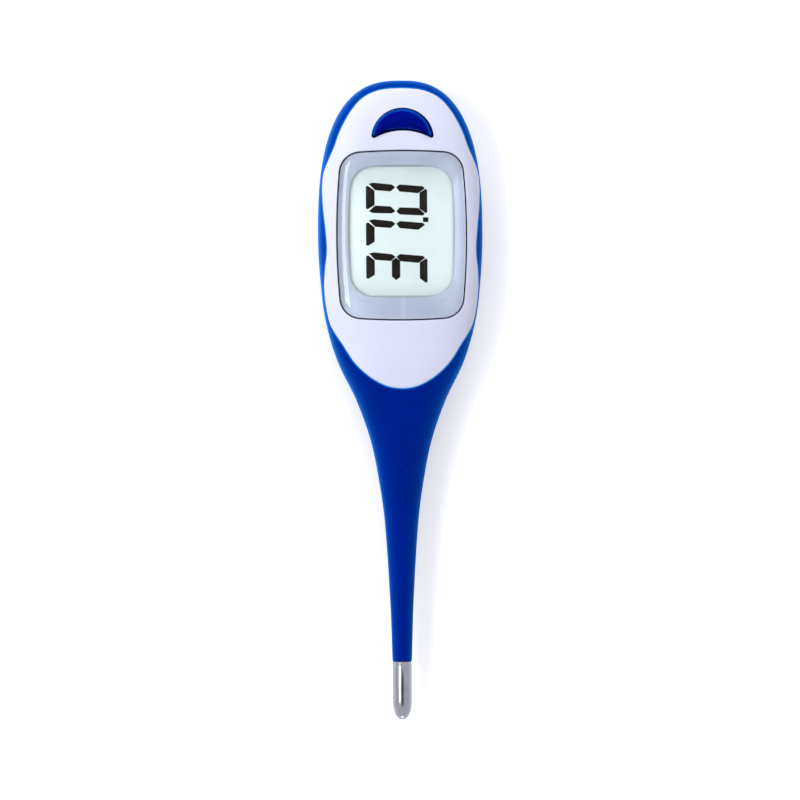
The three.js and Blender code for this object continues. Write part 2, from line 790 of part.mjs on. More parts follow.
function makeDisplay() {
  const middle = displayTopZ - glassThickness;
  const cell = glassBlock(frontGlassHalfLength, 0, middle, displayTopZ)
    .add(glassBlock(rearGlassHalfLength, 0, displayFloorZ, middle));
  addPart('lcd_cell', cell, 'displayGlass');

  const filmFloorZ = reflectorTopZ - reflectorThickness;
  const film = glassBlock(reflectorHalfLength, 0, filmFloorZ, reflectorTopZ);
  addPart('lcd_reflector', film, 'reflectorFilm');

  const openWidth = holderOutline.halfWidth - holderSideRail;
  const openLength = holderOutline.halfLength - holderEndRail;
  const opening = rectangle(openWidth, openLength, fit, displayY);
  let holder = prism(straightShape(holderOutline, 0), holderFloorZ, holderTopZ)
    .subtract(prism(opening, 0, bodyThickness));
  const connectorTopZ = displayFloorZ - seating;
  const ends = { zebra_strip_upper: 1, zebra_strip_lower: -1 };
  Object.entries(ends).forEach(([name, end]) => {
    const y = displayY + end * connectorOffset;
    const bar = (margin, lowZ, highZ) => block(
      2 * (connectorHalfWidth + margin),
      2 * (connectorHalfDepth + margin),
      highZ - lowZ,
      0,
      y,
      (lowZ + highZ) / 2,
    );
    holder = holder.subtract(bar(fit, 0, bodyThickness));
    addPart(name, bar(0, holderFloorZ, connectorTopZ), 'connectorRubber');
  });
  addPart('lcd_holder', holder, 'holderPlastic');
}

function boardShape() {
  const inset = cavityInset + boardMargin;
  const widthAt = (y) => bodySection(y, inset).halfWidth;
  const steps = arcSteps * outlineSteps;
  const side = [];
  for (let i = 0; i <= steps; i += 1) {
    const y = mix(boardBottomY, boardTopY, Math.sin((i / steps) * (Math.PI / 2)));
    side.push(new THREE.Vector2(widthAt(y), y));
  }
  const mirrored = side.map((point) => new THREE.Vector2(-point.x, point.y)).reverse();
  return new THREE.Shape([...side, ...mirrored]);
}

function makeBoard() {
  let board = prism(boardShape(), boardFloorZ, boardTopZ);
  boardScrewPlaces.forEach(([x, y], i) => {
    board = board.subtract(post(boltBoreRadius, x, y, 0, bodyThickness));
    const headTopZ = boardFloorZ - seating;
    const screw = post(screwHeadRadius, x, y, headTopZ - screwHeadHeight, headTopZ)
      .add(post(screwShankRadius, x, y, headTopZ - seating, boardTopZ + boardScrewReach));
    addPart(`board_screw_${i + 1}`, screw, 'zincSteel');
  });
  addPart('circuit_board', board, 'boardLaminate');

  const seatZ = boardTopZ + seating;
  const dome = [];
  for (let i = 0; i <= arcSteps; i += 1) {
    const angle = (i / arcSteps) * (Math.PI / 2);
    dome.push([blobRadius * Math.cos(angle), seatZ + blobHeight * Math.sin(angle)]);
  }
  addPart('controller_blob', turned([[0, seatZ], ...dome], 0, blobY), 'blackEpoxy');

  const chip = ([sizeX, sizeY, sizeZ], [x, y]) => (
    block(sizeX, sizeY, sizeZ, x, blobY + y, seatZ + sizeZ / 2)
  );
  addPart('chip_capacitor', chip(capacitorSize, capacitorOffset), 'ceramicChip');
  resistorOffsets.forEach((offset, i) => {
    addPart(`chip_resistor_${i + 1}`, chip(resistorSize, offset), 'resistorBody');
  });
}

function domeProfile(radius, height, steps) {
  const points = [];
  for (let i = 0; i <= steps; i += 1) {
    const share = i / steps;
    points.push([radius * share, height * (1 - share * share)]);
  }
  return points;
}

function makeButton() {
  const seatZ = boardTopZ + seating;
  const outer = domeProfile(domeRadius, domeHeight, arcSteps).reverse();
  const inner = domeProfile(domeRadius - domeSheet, domeHeight - domeSheet, arcSteps);
  const dome = [...inner, ...outer].map(([radius, height]) => [radius, seatZ + height]);
  addPart('switch_dome', turned(dome, 0, plungerY), 'springSteel');

  const flangeFloorZ = buttonFlangeTopZ - buttonFlangeHeight;
  const plungerFloorZ = seatZ + domeHeight + fit;
  const cap = prism(crescentShape(0), flangeFloorZ, bodyThickness + overrun)
    .intersect(headForm(-buttonProud));
  const flange = prism(crescentShape(buttonFlangeWidth), flangeFloorZ, buttonFlangeTopZ);
  const plunger = post(plungerRadius, 0, plungerY, plungerFloorZ, buttonFlangeTopZ);
  addPart('power_button', cap.add(flange).add(plunger), 'buttonPlastic');
}

// A bent strip: side view as distance along Y and height, with the sheet's width along X
function strip(sideView, halfWidth, x) {
  const shape = new THREE.Shape(sideView.map(([y, z]) => new THREE.Vector2(y, z)));
  const settings = { depth: 2 * halfWidth, bevelEnabled: false };
  const geometry = new THREE.ExtrudeGeometry(shape, settings);
  geometry.rotateX(Math.PI / 2);
  geometry.rotateZ(Math.PI / 2);
  geometry.translate(x - halfWidth, 0, 0);
  return toSolid(geometry);
}

function makeBattery() {
  const shoulderZ = cellTopZ - cellCapHeight;
  const can = [
    [0, cellFloorZ],
    [cellRadius - cellEdge, cellFloorZ],
    [cellRadius, cellFloorZ + cellEdge],
    [cellRadius, shoulderZ - cellEdge],
    [cellRadius - cellEdge, shoulderZ],
    [cellCapRadius, shoulderZ],
    [cellCapRadius, cellTopZ],
    [0, cellTopZ],
  ];
  addPart('battery_cell', turned(can, 0, cellY), 'springSteel');

  const topZ = boardFloorZ - seating;
  const lowZ = topZ - contactSheet;
  const legY = cellY + cellRadius + fit;
  const leg = [
    [legY, topZ],
    [legY, topZ - contactLegDrop],
    [legY + contactSheet, topZ - contactLegDrop],
    [legY + contactSheet, lowZ],
    [legY + contactFoot, lowZ],
    [legY + contactFoot, topZ],
  ];
  addPart('battery_contact_positive', strip(leg, contactHalfWidth, 0), 'springSteel');

  const tongueZ = cellTopZ + seating;
  const rootY = cellY - contactReach;
  const tongue = [
    [rootY, topZ],
    [rootY, lowZ],
    [rootY + contactFoot, lowZ],
    [cellY - contactHalfWidth, tongueZ],
    [cellY + contactHalfWidth, tongueZ],
    [cellY + contactHalfWidth, tongueZ + contactSheet],
    [cellY - contactHalfWidth, tongueZ + contactSheet],
    [rootY + contactFoot, topZ],
  ];
  addPart('battery_contact_negative', strip(tongue, contactHalfWidth, 0), 'springSteel');
}

function makeDoor() {
  const headFloorZ = doorRecess + (doorThickness - doorScrewWeb - doorScrewHeadHeight) / 2;
  const headTopZ = headFloorZ + doorScrewHeadHeight;
  const sink = post(screwHeadRadius + fit, 0, doorScrewY, 0, doorFloorZ - doorScrewWeb);
  const door = prism(straightShape(doorOutline, 0), doorRecess, doorFloorZ)
    .subtract(sink)
    .subtract(post(boltBoreRadius, 0, doorScrewY, -overrun, bodyThickness));
  addPart('battery_door', door, 'chassisPlastic');

  const screw = post(screwHeadRadius, 0, doorScrewY, headFloorZ, headTopZ)
    .add(post(screwShankRadius, 0, doorScrewY, headFloorZ, headTopZ + doorScrewReach));
  addPart('door_screw', screw, 'zincSteel');

  const gasketFloorZ = doorFloorZ + (chassisInset - doorFloorZ - doorGasketThickness) / 2;
  const gasketTopZ = gasketFloorZ + doorGasketThickness;
  const gasket = prism(straightShape(doorOutline, -doorGasketInset), gasketFloorZ, gasketTopZ)
    .subtract(prism(straightShape(doorOutline, -doorGasketInset - doorGasketWidth), 0, axisZ));
  addPart('door_gasket', gasket, 'sealRubber');
}

function makeSounder() {
  const seatZ = chassisFloorZ + sounderRibHeight + seating;
  const disc = post(sounderRadius, 0, sounderY, seatZ, seatZ + sounderThickness);
  addPart('sounder_disc', disc, 'brass');
}

function makeWires() {
  const section = new THREE.Shape().absarc(0, 0, wireDiameter / 2, 0, 2 * Math.PI);
  const boardZ = boardTopZ + seating + wireDiameter / 2;
  const startY = boardBottomY + wireBoardOverlap;
  const endY = tipY + wireEndFromTip;
  const sides = { lead_wire_left: -1, lead_wire_right: 1 };
  Object.entries(sides).forEach(([name, side]) => {
    const near = (side * wireSpacing) / 2;
    const far = (side * wireBoardSpacing) / 2;
    const path = new THREE.CatmullRomCurve3([
      new THREE.Vector3(far, startY, boardZ),
      new THREE.Vector3(far, boardBottomY, boardZ),
      new THREE.Vector3(near, innerNeckEndY, axisZ),
      new THREE.Vector3(near, neckEndY, axisZ),
      new THREE.Vector3(near, stemEndY, axisZ),
      new THREE.Vector3(near, endY, axisZ),
    ], false, 'centripetal');
    const settings = { steps: wireSteps, extrudePath: path, curveSegments: outlineSteps };
    const wire = toSolid(new THREE.ExtrudeGeometry(section, settings));
    addPart(name, wire, side > 0 ? 'redWire' : 'blackWire');
  });
}

// A profile of radius and place along the stem, turned about the stem's own axis
function turnedOnStem(profile) {
  const points = profile.map(([radius, y]) => new THREE.Vector2(radius, y));
  const geometry = new THREE.LatheGeometry(points, smallRoundSteps);
  geometry.translate(0, 0, axisZ);
  return toSolid(geometry);
}

function capArc(radius, length) {
  const arc = [];
  for (let i = 0; i <= arcSteps; i += 1) {
    const angle = (i / arcSteps) * (Math.PI / 2);
    arc.push([radius * Math.sin(angle), tipY + capDomeLength - length * Math.cos(angle)]);
  }
  return arc;
}

function makeTip() {
  const openY = stemEndY - fit;
  const innerRadius = capRadius - capWall;
  const outer = capArc(capRadius, capDomeLength);
  const inner = capArc(innerRadius, capDomeLength - capWall).reverse();
  const cap = [...outer, [capRadius, openY], [innerRadius, openY], ...inner];
  addPart('steel_cap', turnedOnStem(cap), 'stainlessSteel');

  const beadTopY = tipY + wireEndFromTip - fit;
  const bead = new THREE.SphereGeometry(beadRadius, smallRoundSteps, arcSteps);
  bead.scale(1, beadLength / (2 * beadRadius), 1);
  bead.translate(0, beadTopY - beadLength / 2, axisZ);
  addPart('thermistor', toSolid(bead), 'glassBead');

  const pottingTopY = stemEndY - spigotLength - pottingStart;
  const potting = rod(spigotRadius, pottingTopY - pottingLength, pottingTopY)
    .subtract(rod(stemBoreRadius, tipY, stemEndY));
  addPart('tip_potting', potting, 'clearEpoxy');
}

makeSoftBody();
makeFrontCover();
makeRearChassis();
makeLensStack();
makeDisplay();
makeBoard();
makeButton();
makeBattery();
makeDoor();
makeSounder();
makeWires();
makeTip();

export default thermometer;
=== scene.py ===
from math import atan2, cos, pi, radians, sin

import bpy
import numpy as np
from mathutils import Matrix, Vector


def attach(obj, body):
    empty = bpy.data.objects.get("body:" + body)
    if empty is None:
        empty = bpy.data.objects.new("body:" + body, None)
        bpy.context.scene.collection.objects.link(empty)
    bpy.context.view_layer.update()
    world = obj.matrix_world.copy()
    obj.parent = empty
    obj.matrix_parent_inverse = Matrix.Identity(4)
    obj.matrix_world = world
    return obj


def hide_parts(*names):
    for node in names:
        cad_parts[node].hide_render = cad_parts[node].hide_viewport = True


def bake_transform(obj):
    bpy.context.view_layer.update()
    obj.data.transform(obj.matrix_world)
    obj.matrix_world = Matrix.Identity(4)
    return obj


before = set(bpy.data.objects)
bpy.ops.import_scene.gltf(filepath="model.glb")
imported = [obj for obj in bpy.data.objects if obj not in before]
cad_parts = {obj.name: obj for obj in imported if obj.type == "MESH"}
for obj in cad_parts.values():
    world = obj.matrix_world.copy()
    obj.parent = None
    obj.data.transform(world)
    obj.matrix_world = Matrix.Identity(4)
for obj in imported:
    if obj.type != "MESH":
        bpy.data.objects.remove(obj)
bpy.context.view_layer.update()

# Sizes are in millimetres, as on the drawing, and become metres when a mesh is laid out.
# The object lies along y, with its head at the positive end, and its front faces up z.
MM = 0.001

# The body, with the same sizes as its solids
HEAD_TOP = 70.0
HEAD_HALF = 18.0
AXIS_Z = 8.0
TOP_Z = 16.0
CROWN = 34.0
TAPER = 93.3
BELLY = 1.2
STEM_HALF = 2.13
WIDEST = HEAD_TOP - CROWN
STEM_END = -57.3
TIP = -70.0
SPIGOT_END = -61.3
SPIGOT_RADIUS = 1.45
BORE_RADIUS = 0.95
SKIN = 1.7
POCKET_END = -10.3
STEM_SPLIT = -38.5
PLAN_POWER, SIDE_POWER, HEAD_POWER, STEM_POWER = 2.6, 3.5, 3.2, 2.0

# Place along the taper, then the width and the thickness that are left there
NECK = np.array([
    [0, 1, 1], [0.105, 0.969, 0.995], [0.199, 0.9, 0.947], [0.293, 0.742, 0.816],
    [0.387, 0.48, 0.612], [0.481, 0.287, 0.409], [0.575, 0.1745, 0.254],
    [0.669, 0.1, 0.148], [0.856, 0.029, 0.039], [1, 0, 0],
])

# White panel's seam: place along the panel, then the share of the body's half width there
PANEL_TOP, PANEL_LENGTH = 68.4, 65.95
PANEL = np.array([
    [0, 0], [0.0076, 0.5725], [0.0318, 0.7856], [0.0758, 0.8499], [0.1425, 0.8915],
    [0.194, 0.9097], [0.2365, 0.9475], [0.279, 0.9808], [0.332, 0.9821], [0.4, 0.9611],
    [0.4685, 0.9331], [0.54, 0.9202], [0.6065, 0.9558], [0.6655, 0.9787], [0.734, 0.9792],
    [0.7945, 0.9624], [0.855, 0.8673], [0.916, 0.7629], [0.963, 0.5751], [0.992, 0.3039],
    [1, 0],
])
SEAM_STEPS = 240
# Gap on each side of the seam, and how far the panel's rim reaches in, square to the surface
SEAM_GAP, RIM_DEPTH = 0.04, 3.4

# Lens and window: half width, half length, corner radius, bow of the sides and of the ends, centre
LENS = dict(half_width=14.13, half_length=18.45, corner=4.6, side_bow=0.6, end_bow=0.3, y=36.05)
WINDOW = dict(half_width=11.6, half_length=14.5, corner=5.1, side_bow=0.3, end_bow=0.2, y=36.92)

# Button's hole, between two arcs; the button is smaller, and sits up and to the left in it
BUTTON_X, TIP_RADIUS = 0.24, 0.5
OUTER_Y, OUTER_RADIUS = 57.08, 6.86
INNER_Y, INNER_RADIUS = 46.26, 12.7
BUTTON_GAP, BUTTON_LEFT, BUTTON_UP = 0.42, 0.18, 0.14
BUTTON_FOOT = 11.4

# Heights between which the digits lie, on the display's glass
INK = (12.29, 12.33)

DOOR = dict(half_width=7.2, half_length=10.4, corner=3.0, y=43.6)
DOOR_GAP = 0.2
SCREW_Y = 37.2


# The body's shape
def mix(low, high, share):
    return low + (high - low) * share


def neck_share(along, column):
    """Smooth curve through one column of the neck's table, level where it meets the crown."""
    last = len(NECK) - 1
    i = max(0, min(int(np.searchsorted(NECK[:, 0], along, side="right")) - 1, last - 1))

    def slope(k):
        before, after = NECK[max(k - 1, 0)], NECK[min(k + 1, last)]
        return 0 if k <= 0 else (after[column] - before[column]) / (after[0] - before[0])

    start, end = NECK[i], NECK[i + 1]
    span = end[0] - start[0]
    t = min(1, (along - start[0]) / span)
    leave = t * (1 - t) ** 2 * span * slope(i)
    arrive = t * t * (t - 1) * span * slope(i + 1)
    return mix(start[column], end[column], t * t * (3 - 2 * t)) + leave + arrive


def section(y, inset=0.0):
    """Half width, height over the axis, depth under it and squareness of the body at y."""
    if y >= WIDEST:
        along = min(1, (y - WIDEST) / (CROWN - inset))
        plan = max(0, 1 - along ** PLAN_POWER) ** (1 / PLAN_POWER)
        side = max(0, 1 - along ** SIDE_POWER) ** (1 / SIDE_POWER)
        up = (AXIS_Z - inset) * side
        return (HEAD_HALF - inset) * plan, up, (AXIS_Z + BELLY - inset) * side, HEAD_POWER
    along = min(1, (WIDEST - y) / TAPER)
    depth = neck_share(along, 2)
    up = mix(STEM_HALF, AXIS_Z, depth) - inset
    power = mix(STEM_POWER, HEAD_POWER, depth)
    return mix(STEM_HALF, HEAD_HALF, neck_share(along, 1)) - inset, up, up + BELLY * depth, power


def surface_height(x, y, inset=0.0):
    """Height of the front surface over a point of the plan."""
    half_width, up, _, power = section(y, inset)
    left = max(0, 1 - (abs(x) / half_width) ** power)
    return AXIS_Z + up * left ** (1 / power)


def surface_normal(point):
    """Direction that stands square on the front surface."""
    def outside(x, y, z):
        half_width, up, _, power = section(y)
        return (abs(x) / half_width) ** power + (max(z - AXIS_Z, 0) / up) ** power

    normal = np.array([outside(*(point + step)) - outside(*(point - step))
                       for step in np.eye(3) * 0.01])
    return normal / np.linalg.norm(normal)


# Loops of points, each a row of a piece's grid
LOOP_POINTS = 120
CREASE = radians(150)


def loop_angles(crease, count):
    """Angles from straight up: five sixths round the front, the rest across the back."""
    front = count * 5 // 6
    back = count - front
    angles = [mix(-crease, crease, i / front) for i in range(front)]
    return angles + [mix(crease, 2 * pi - crease, i / back) for i in range(back)]


def body_loop(y, inset=0.0):
    """One loop of points round the body, cut flat at the back."""
    half_width, up, down, power = section(y, inset)

    def at(angle):
        side, rise = sin(angle), cos(angle)
        reach = (abs(side) ** power + abs(rise) ** power) ** (-1 / power)
        return side * reach * half_width, AXIS_Z + rise * reach * (up if rise > 0 else down)

    # The crease is where the round side meets the flat back
    crease = CREASE
    if at(crease)[1] < inset:
        low, high = pi / 2, crease
        for _ in range(30):
            middle = (low + high) / 2
            low, high = (low, middle) if at(middle)[1] < inset else (middle, high)
        crease = high
    return [(x, y, max(z, inset)) for x, z in map(at, loop_angles(crease, LOOP_POINTS))]


def round_loop(radius, y, count=LOOP_POINTS):
    """A loop round the stem's own axis, which starts where the body's loops start."""
    return [(radius * sin(a), y, AXIS_Z + radius * cos(a)) for a in loop_angles(CREASE, count)]


def lift(plan, z):
    """A plan as a level loop."""
    return [(x, y, z) for x, y in plan]


def over(plan, inset, fall=0.0):
    """A plan laid on the front of the body drawn in by the inset, then let down by the fall."""
    return [(x, y, surface_height(x, y, inset) - fall) for x, y in plan]


# Outlines in plan
def between(first, second, share):
    """A plan part of the way from one to another, point by point."""
    return [(mix(ax, bx, share), mix(ay, by, share))
            for (ax, ay), (bx, by) in zip(first, second)]


def towards(centre, plan, share):
    """A plan drawn in to a centre."""
    return between([centre] * len(plan), plan, share)


def corner_arc(cx, cy, radius, start, end, steps):
    angles = [mix(start, end, i / steps) for i in range(steps + 1)]
    return [(cx + radius * cos(a), cy + radius * sin(a)) for a in angles]


def bow(start, middle, end, steps):
    """A shallow curve from one corner to the next, without its ends."""
    return [tuple((1 - t) ** 2 * a + 2 * t * (1 - t) * b + t * t * c
                  for a, b, c in zip(start, middle, end))
            for t in (i / steps for i in range(1, steps))]


def bowed_outline(shape, margin=0.0):
    """A rounded rectangle whose sides and ends bow outwards."""
    half_width, half_length, corner, side, end, yc = shape.values()
    x, y, r = half_width + margin - side, half_length + margin - end, corner + margin
    arc, end_steps, side_steps = 14, 24, 30
    points = corner_arc(x - r, yc + y - r, r, 0, pi / 2, arc)
    points += bow((x - r, yc + y), (0, yc + y + 2 * end), (r - x, yc + y), end_steps)
    points += corner_arc(r - x, yc + y - r, r, pi / 2, pi, arc)
    points += bow((-x, yc + y - r), (-x - 2 * side, yc), (-x, yc - y + r), side_steps)
    points += corner_arc(r - x, yc - y + r, r, pi, 1.5 * pi, arc)
    points += bow((r - x, yc - y), (0, yc - y - 2 * end), (x - r, yc - y), end_steps)
    points += corner_arc(x - r, yc - y + r, r, 1.5 * pi, 2 * pi, arc)
    points += bow((x, yc - y + r), (x + 2 * side, yc), (x, yc + y - r), side_steps)
    return points


def rounded_outline(half_width, half_length, corner, yc, arc=10, xc=0.0):
    x, y = half_width - corner, half_length - corner
    points = []
    for right, up, start in ((1, 1, 0), (-1, 1, pi / 2), (-1, -1, pi), (1, -1, 1.5 * pi)):
        points += corner_arc(xc + right * x, yc + up * y, corner, start, start + pi / 2, arc)
    return points


def door_outline(margin):
    half_width, half_length, corner, y = DOOR.values()
    return rounded_outline(half_width + margin, half_length + margin, corner + margin, y)


def crescent(margin):
    """Outer arc, round left tip, inner arc and round right tip of the button's hole."""
    # The tips' centres lie on both arcs, moved in and out by the tips' radius
    outer, inner, apart = OUTER_RADIUS - TIP_RADIUS, INNER_RADIUS + TIP_RADIUS, OUTER_Y - INNER_Y
    rise = (inner ** 2 - outer ** 2 - apart ** 2) / (2 * apart)
    tip_x, tip_y, tip = (outer ** 2 - rise ** 2) ** 0.5, OUTER_Y + rise, TIP_RADIUS + margin
    outer_angle, inner_angle = atan2(rise, tip_x), atan2(rise + apart, tip_x)
    points = corner_arc(0, OUTER_Y, OUTER_RADIUS + margin, outer_angle, pi - outer_angle, 60)
    points += corner_arc(-tip_x, tip_y, tip, pi - outer_angle, 2 * pi - inner_angle, 8)[1:]
    points += corner_arc(0, INNER_Y, INNER_RADIUS - margin, pi - inner_angle, inner_angle, 44)[1:]
    points += corner_arc(tip_x, tip_y, tip, pi + inner_angle, 2 * pi + outer_angle, 8)[1:-1]
    return [(x + BUTTON_X, y) for x, y in points]


def directions(plan, centre):
    return [atan2(y - centre[1], x - centre[0]) for x, y in plan]


def seen_from(outline, centre, angles):
    """Points of an outline in given directions from a centre."""
    polygon = np.array(outline + outline[:1], float) - np.array(centre)
    slack = 1e-9
    found = []
    for angle in angles:
        dx, dy = cos(angle), sin(angle)
        best = 0.0
        for (ax, ay), (bx, by) in zip(polygon[:-1], polygon[1:]):
            side_x, side_y = bx - ax, by - ay
            cross = dx * side_y - dy * side_x
            if abs(cross) < 1e-12:
                continue
            reach = (ax * side_y - ay * side_x) / cross
            share = (ax * dy - ay * dx) / cross
            if -slack <= share <= 1 + slack and reach > best:
                best = reach
        found.append((centre[0] + best * dx, centre[1] + best * dy))
    return found


# The seam between the rubber and the white panel
def seam_curve(count):
    """The panel's seam in plan: an even closed curve, anticlockwise from the top."""
    def place(side, along, width):
        y = PANEL_TOP - along * PANEL_LENGTH
        return (side * width * section(y)[0], y)

    def blend(first, second, start, end, t):
        return (end - t) / (end - start) * first + (t - start) / (end - start) * second

    left = [place(-1, *row) for row in PANEL]
    right = [place(1, *row) for row in PANEL[1:-1][::-1]]
    knots = np.array(left + right)
    total, steps = len(knots), 24
    dense = []
    # A centripetal spline through the knots, four of them at a time
    for i in range(total):
        p = [knots[(i + k - 1) % total] for k in range(4)]
        times = [0.0]
        for first, second in zip(p[:-1], p[1:]):
            times.append(times[-1] + np.linalg.norm(second - first) ** 0.5)
        for k in range(steps):
            t = mix(times[1], times[2], k / steps)
            a, b, c = (blend(p[j], p[j + 1], times[j], times[j + 1], t) for j in range(3))
            ab, bc = blend(a, b, times[0], times[2], t), blend(b, c, times[1], times[3], t)
            dense.append(blend(ab, bc, times[1], times[2], t))
    dense = np.array(dense + dense[:1])
    lengths = np.concatenate([[0], np.cumsum(np.linalg.norm(np.diff(dense, axis=0), axis=1))])
    even = np.linspace(0, lengths[-1], count + 1)[:-1]
    return np.stack([np.interp(even, lengths, dense[:, k]) for k in (0, 1)], axis=1)


SEAM_PLAN = seam_curve(SEAM_STEPS)
SEAM = np.array([(x, y, surface_height(x, y)) for x, y in SEAM_PLAN])
SEAM_NORMAL = np.array([surface_normal(p) for p in SEAM])
SEAM_ALONG = np.roll(SEAM, -1, axis=0) - np.roll(SEAM, 1, axis=0)
SEAM_OUT = np.cross(SEAM_ALONG, SEAM_NORMAL)
SEAM_OUT /= np.linalg.norm(SEAM_OUT, axis=1)[:, None]


def seam_loop(out, rise):
    """The seam moved sideways along the surface and up square to it."""
    return SEAM + SEAM_OUT * out + SEAM_NORMAL * rise


# Modelling helpers
def only(obj):
    """Selects this object and no other."""
    bpy.ops.object.select_all(action="DESELECT")
    obj.select_set(True)
    bpy.context.view_layer.objects.active = obj
    return obj


def close_up(merge_mm):
    """Ends the editing of a mesh: merges what coincides and turns the faces outwards."""
    bpy.ops.mesh.select_all(action="SELECT")
    bpy.ops.mesh.remove_doubles(threshold=merge_mm * MM)
    bpy.ops.mesh.normals_make_consistent(inside=False)
    bpy.ops.object.mode_set(mode="OBJECT")


def finish_mesh(obj, name, smooth=35):
    """Names a closed piece and smooths all but its real edges."""
    only(obj)
    obj.name = obj.data.name = name
    bpy.ops.object.mode_set(mode="EDIT")
    close_up(0.004)
    bpy.ops.object.shade_smooth_by_angle(angle=radians(smooth))
    return obj


def wrap(name, loops, smooth=35):
    """A grid laid round loops of points, so that each row is a loop and its ends join."""
    rows = np.array(loops, float)
    row_count, column_count = rows.shape[:2]
    bpy.ops.object.select_all(action="DESELECT")
    bpy.ops.mesh.primitive_grid_add(
        x_subdivisions=column_count, y_subdivisions=row_count - 1, size=1)
    obj = bpy.context.object
    closed = np.concatenate([rows, rows[:, :1]], axis=1) * MM
    obj.data.vertices.foreach_set("co", closed.reshape(-1).astype(np.float32))
    obj.data.update()
    return finish_mesh(obj, name, smooth)


def prism(outline, low, high):
    """An outline of the plan pulled up between two heights."""
    bpy.ops.object.select_all(action="DESELECT")
    bpy.ops.mesh.primitive_circle_add(vertices=len(outline), fill_type="NGON")
    obj = bpy.context.object
    ring = np.array(lift(outline, low)) * MM
    obj.data.vertices.foreach_set("co", ring.reshape(-1).astype(np.float32))
    bpy.ops.object.mode_set(mode="EDIT")
    bpy.ops.mesh.select_all(action="SELECT")
    bpy.ops.mesh.extrude_region_move(
        TRANSFORM_OT_translate={"value": (0, 0, (high - low) * MM)})
    close_up(0.001)
    return obj


def settle(obj):
    """Puts an object's place, turn and size into its mesh."""
    only(obj)
    bpy.ops.object.transform_apply(location=True, rotation=True, scale=True)
    return obj


def cylinder(radius, y, low, high):
    """An upright cylinder on the middle line, between two heights."""
    bpy.ops.object.select_all(action="DESELECT")
    bpy.ops.mesh.primitive_cylinder_add(
        vertices=48, radius=radius * MM, depth=(high - low) * MM,
        location=(0, y * MM, (low + high) / 2 * MM))
    return settle(bpy.context.object)


def block(size, y, z, turn=0.0):
    """A box round a point of the middle line, turned about its upright axis."""
    bpy.ops.object.select_all(action="DESELECT")
    bpy.ops.mesh.primitive_cube_add(size=1, location=(0, y * MM, z * MM), rotation=(0, 0, turn))
    bpy.context.object.scale = [length * MM for length in size]
    return settle(bpy.context.object)


def apply_all(obj):
    only(obj)
    for modifier in list(obj.modifiers):
        bpy.ops.object.modifier_apply(modifier=modifier.name)
    return obj


def ease_edges(obj, width, segments):
    bevel = obj.modifiers.new("edge", "BEVEL")
    bevel.width, bevel.segments, bevel.limit_method = width * MM, segments, "ANGLE"
    return apply_all(obj)


def carve(obj, cutter, operation="DIFFERENCE"):
    """Cuts one solid with another, or joins them, and throws the cutter away."""
    modifier = obj.modifiers.new("carve", "BOOLEAN")
    modifier.object = cutter
    modifier.operation = operation
    modifier.solver = "EXACT"
    apply_all(obj)
    bpy.data.objects.remove(cutter)
    return obj


# Materials
def linear(hex_colour):
    """An sRGB hex colour as the linear colour that a shader takes."""
    values = [int(hex_colour[i:i + 2], 16) / 255 for i in (1, 3, 5)]
    return tuple(v / 12.92 if v <= 0.04045 else ((v + 0.055) / 1.055) ** 2.4
                 for v in values) + (1.0,)


def add(tree, kind, settings=None, **sockets):
    """Adds one node; a socket takes a value or another node's output."""
    made = tree.nodes.new("ShaderNode" + kind)
    for key, value in (settings or {}).items():
        setattr(made, key, value)
    for key, value in sockets.items():
        name = key.replace("_", " ")
        socket = made.inputs[int(name[5:])] if name.startswith("slot ") else made.inputs[name]
        if isinstance(value, bpy.types.NodeSocket):
            tree.links.new(value, socket)
        else:
            socket.default_value = value
    return made


def any_ray(tree, *kinds):
    """One for a ray of any of these kinds, else nought."""
    path = add(tree, "LightPath")
    found = path.outputs[kinds[0]]
    for kind in kinds[1:]:
        found = add(tree, "Math", {"operation": "MAXIMUM"}, slot_0=found,
                    slot_1=path.outputs[kind]).outputs[0]
    return found


def start_material(name, **values):
    """A material with one Principled shader, its plain values set on its own sockets."""
    material = bpy.data.materials.new(name)
    material.use_nodes = True
    tree = material.node_tree
    shader = tree.nodes["Principled BSDF"]
    for key, value in values.items():
        shader.inputs[key.replace("_", " ")].default_value = value
    place = add(tree, "TexCoord").outputs["Object"]
    return material, tree, shader, place


def per_metre(size_mm):
    """Noise scale for a grain of this size."""
    return 1 / (size_mm * MM)


def surface(name, base, other, rough, grain_mm, bump=0.2, patch_mm=3.0, spread=0.06,
            mark=None, mark_colour=None, **values):
    """Colour that drifts between two hex values, with a fine grain; a mark has its own colour."""
    material, tree, shader, place = start_material(name, **values)
    patches = add(tree, "TexNoise", Vector=place, Scale=per_metre(patch_mm), Detail=3.0)
    ramp = add(tree, "ValToRGB", Fac=patches.outputs["Fac"])
    for stop, position, hex_colour in zip(ramp.color_ramp.elements, (0.35, 0.65), (base, other)):
        stop.position, stop.color = position, linear(hex_colour)
    colour = ramp.outputs["Color"]
    if mark:
        colour = add(tree, "Mix", {"data_type": "RGBA"}, Factor=mark(tree, place),
                     slot_6=colour, slot_7=linear(mark_colour)).outputs[2]
    tree.links.new(colour, shader.inputs["Base Color"])
    grain = add(tree, "TexNoise", Vector=place, Scale=per_metre(grain_mm), Detail=2.0)
    varied = add(tree, "MapRange", Value=grain.outputs["Fac"], slot_1=0.3, slot_2=0.7,
                 slot_3=rough - spread, slot_4=rough + spread)
    tree.links.new(varied.outputs["Result"], shader.inputs["Roughness"])
    height = add(tree, "Bump", Strength=bump, Distance=0.05 * MM, Height=grain.outputs["Fac"])
    tree.links.new(height.outputs["Normal"], shader.inputs["Normal"])
    return material


def metal(name, base, other, rough, grain_mm, spread, bump=0.1):
    """A bare or plated metal; the grain is what the last working of the sheet or bar left."""
    return surface(name, base, other, rough, grain_mm, bump, patch_mm=4, spread=spread,
                   Metallic=1.0)


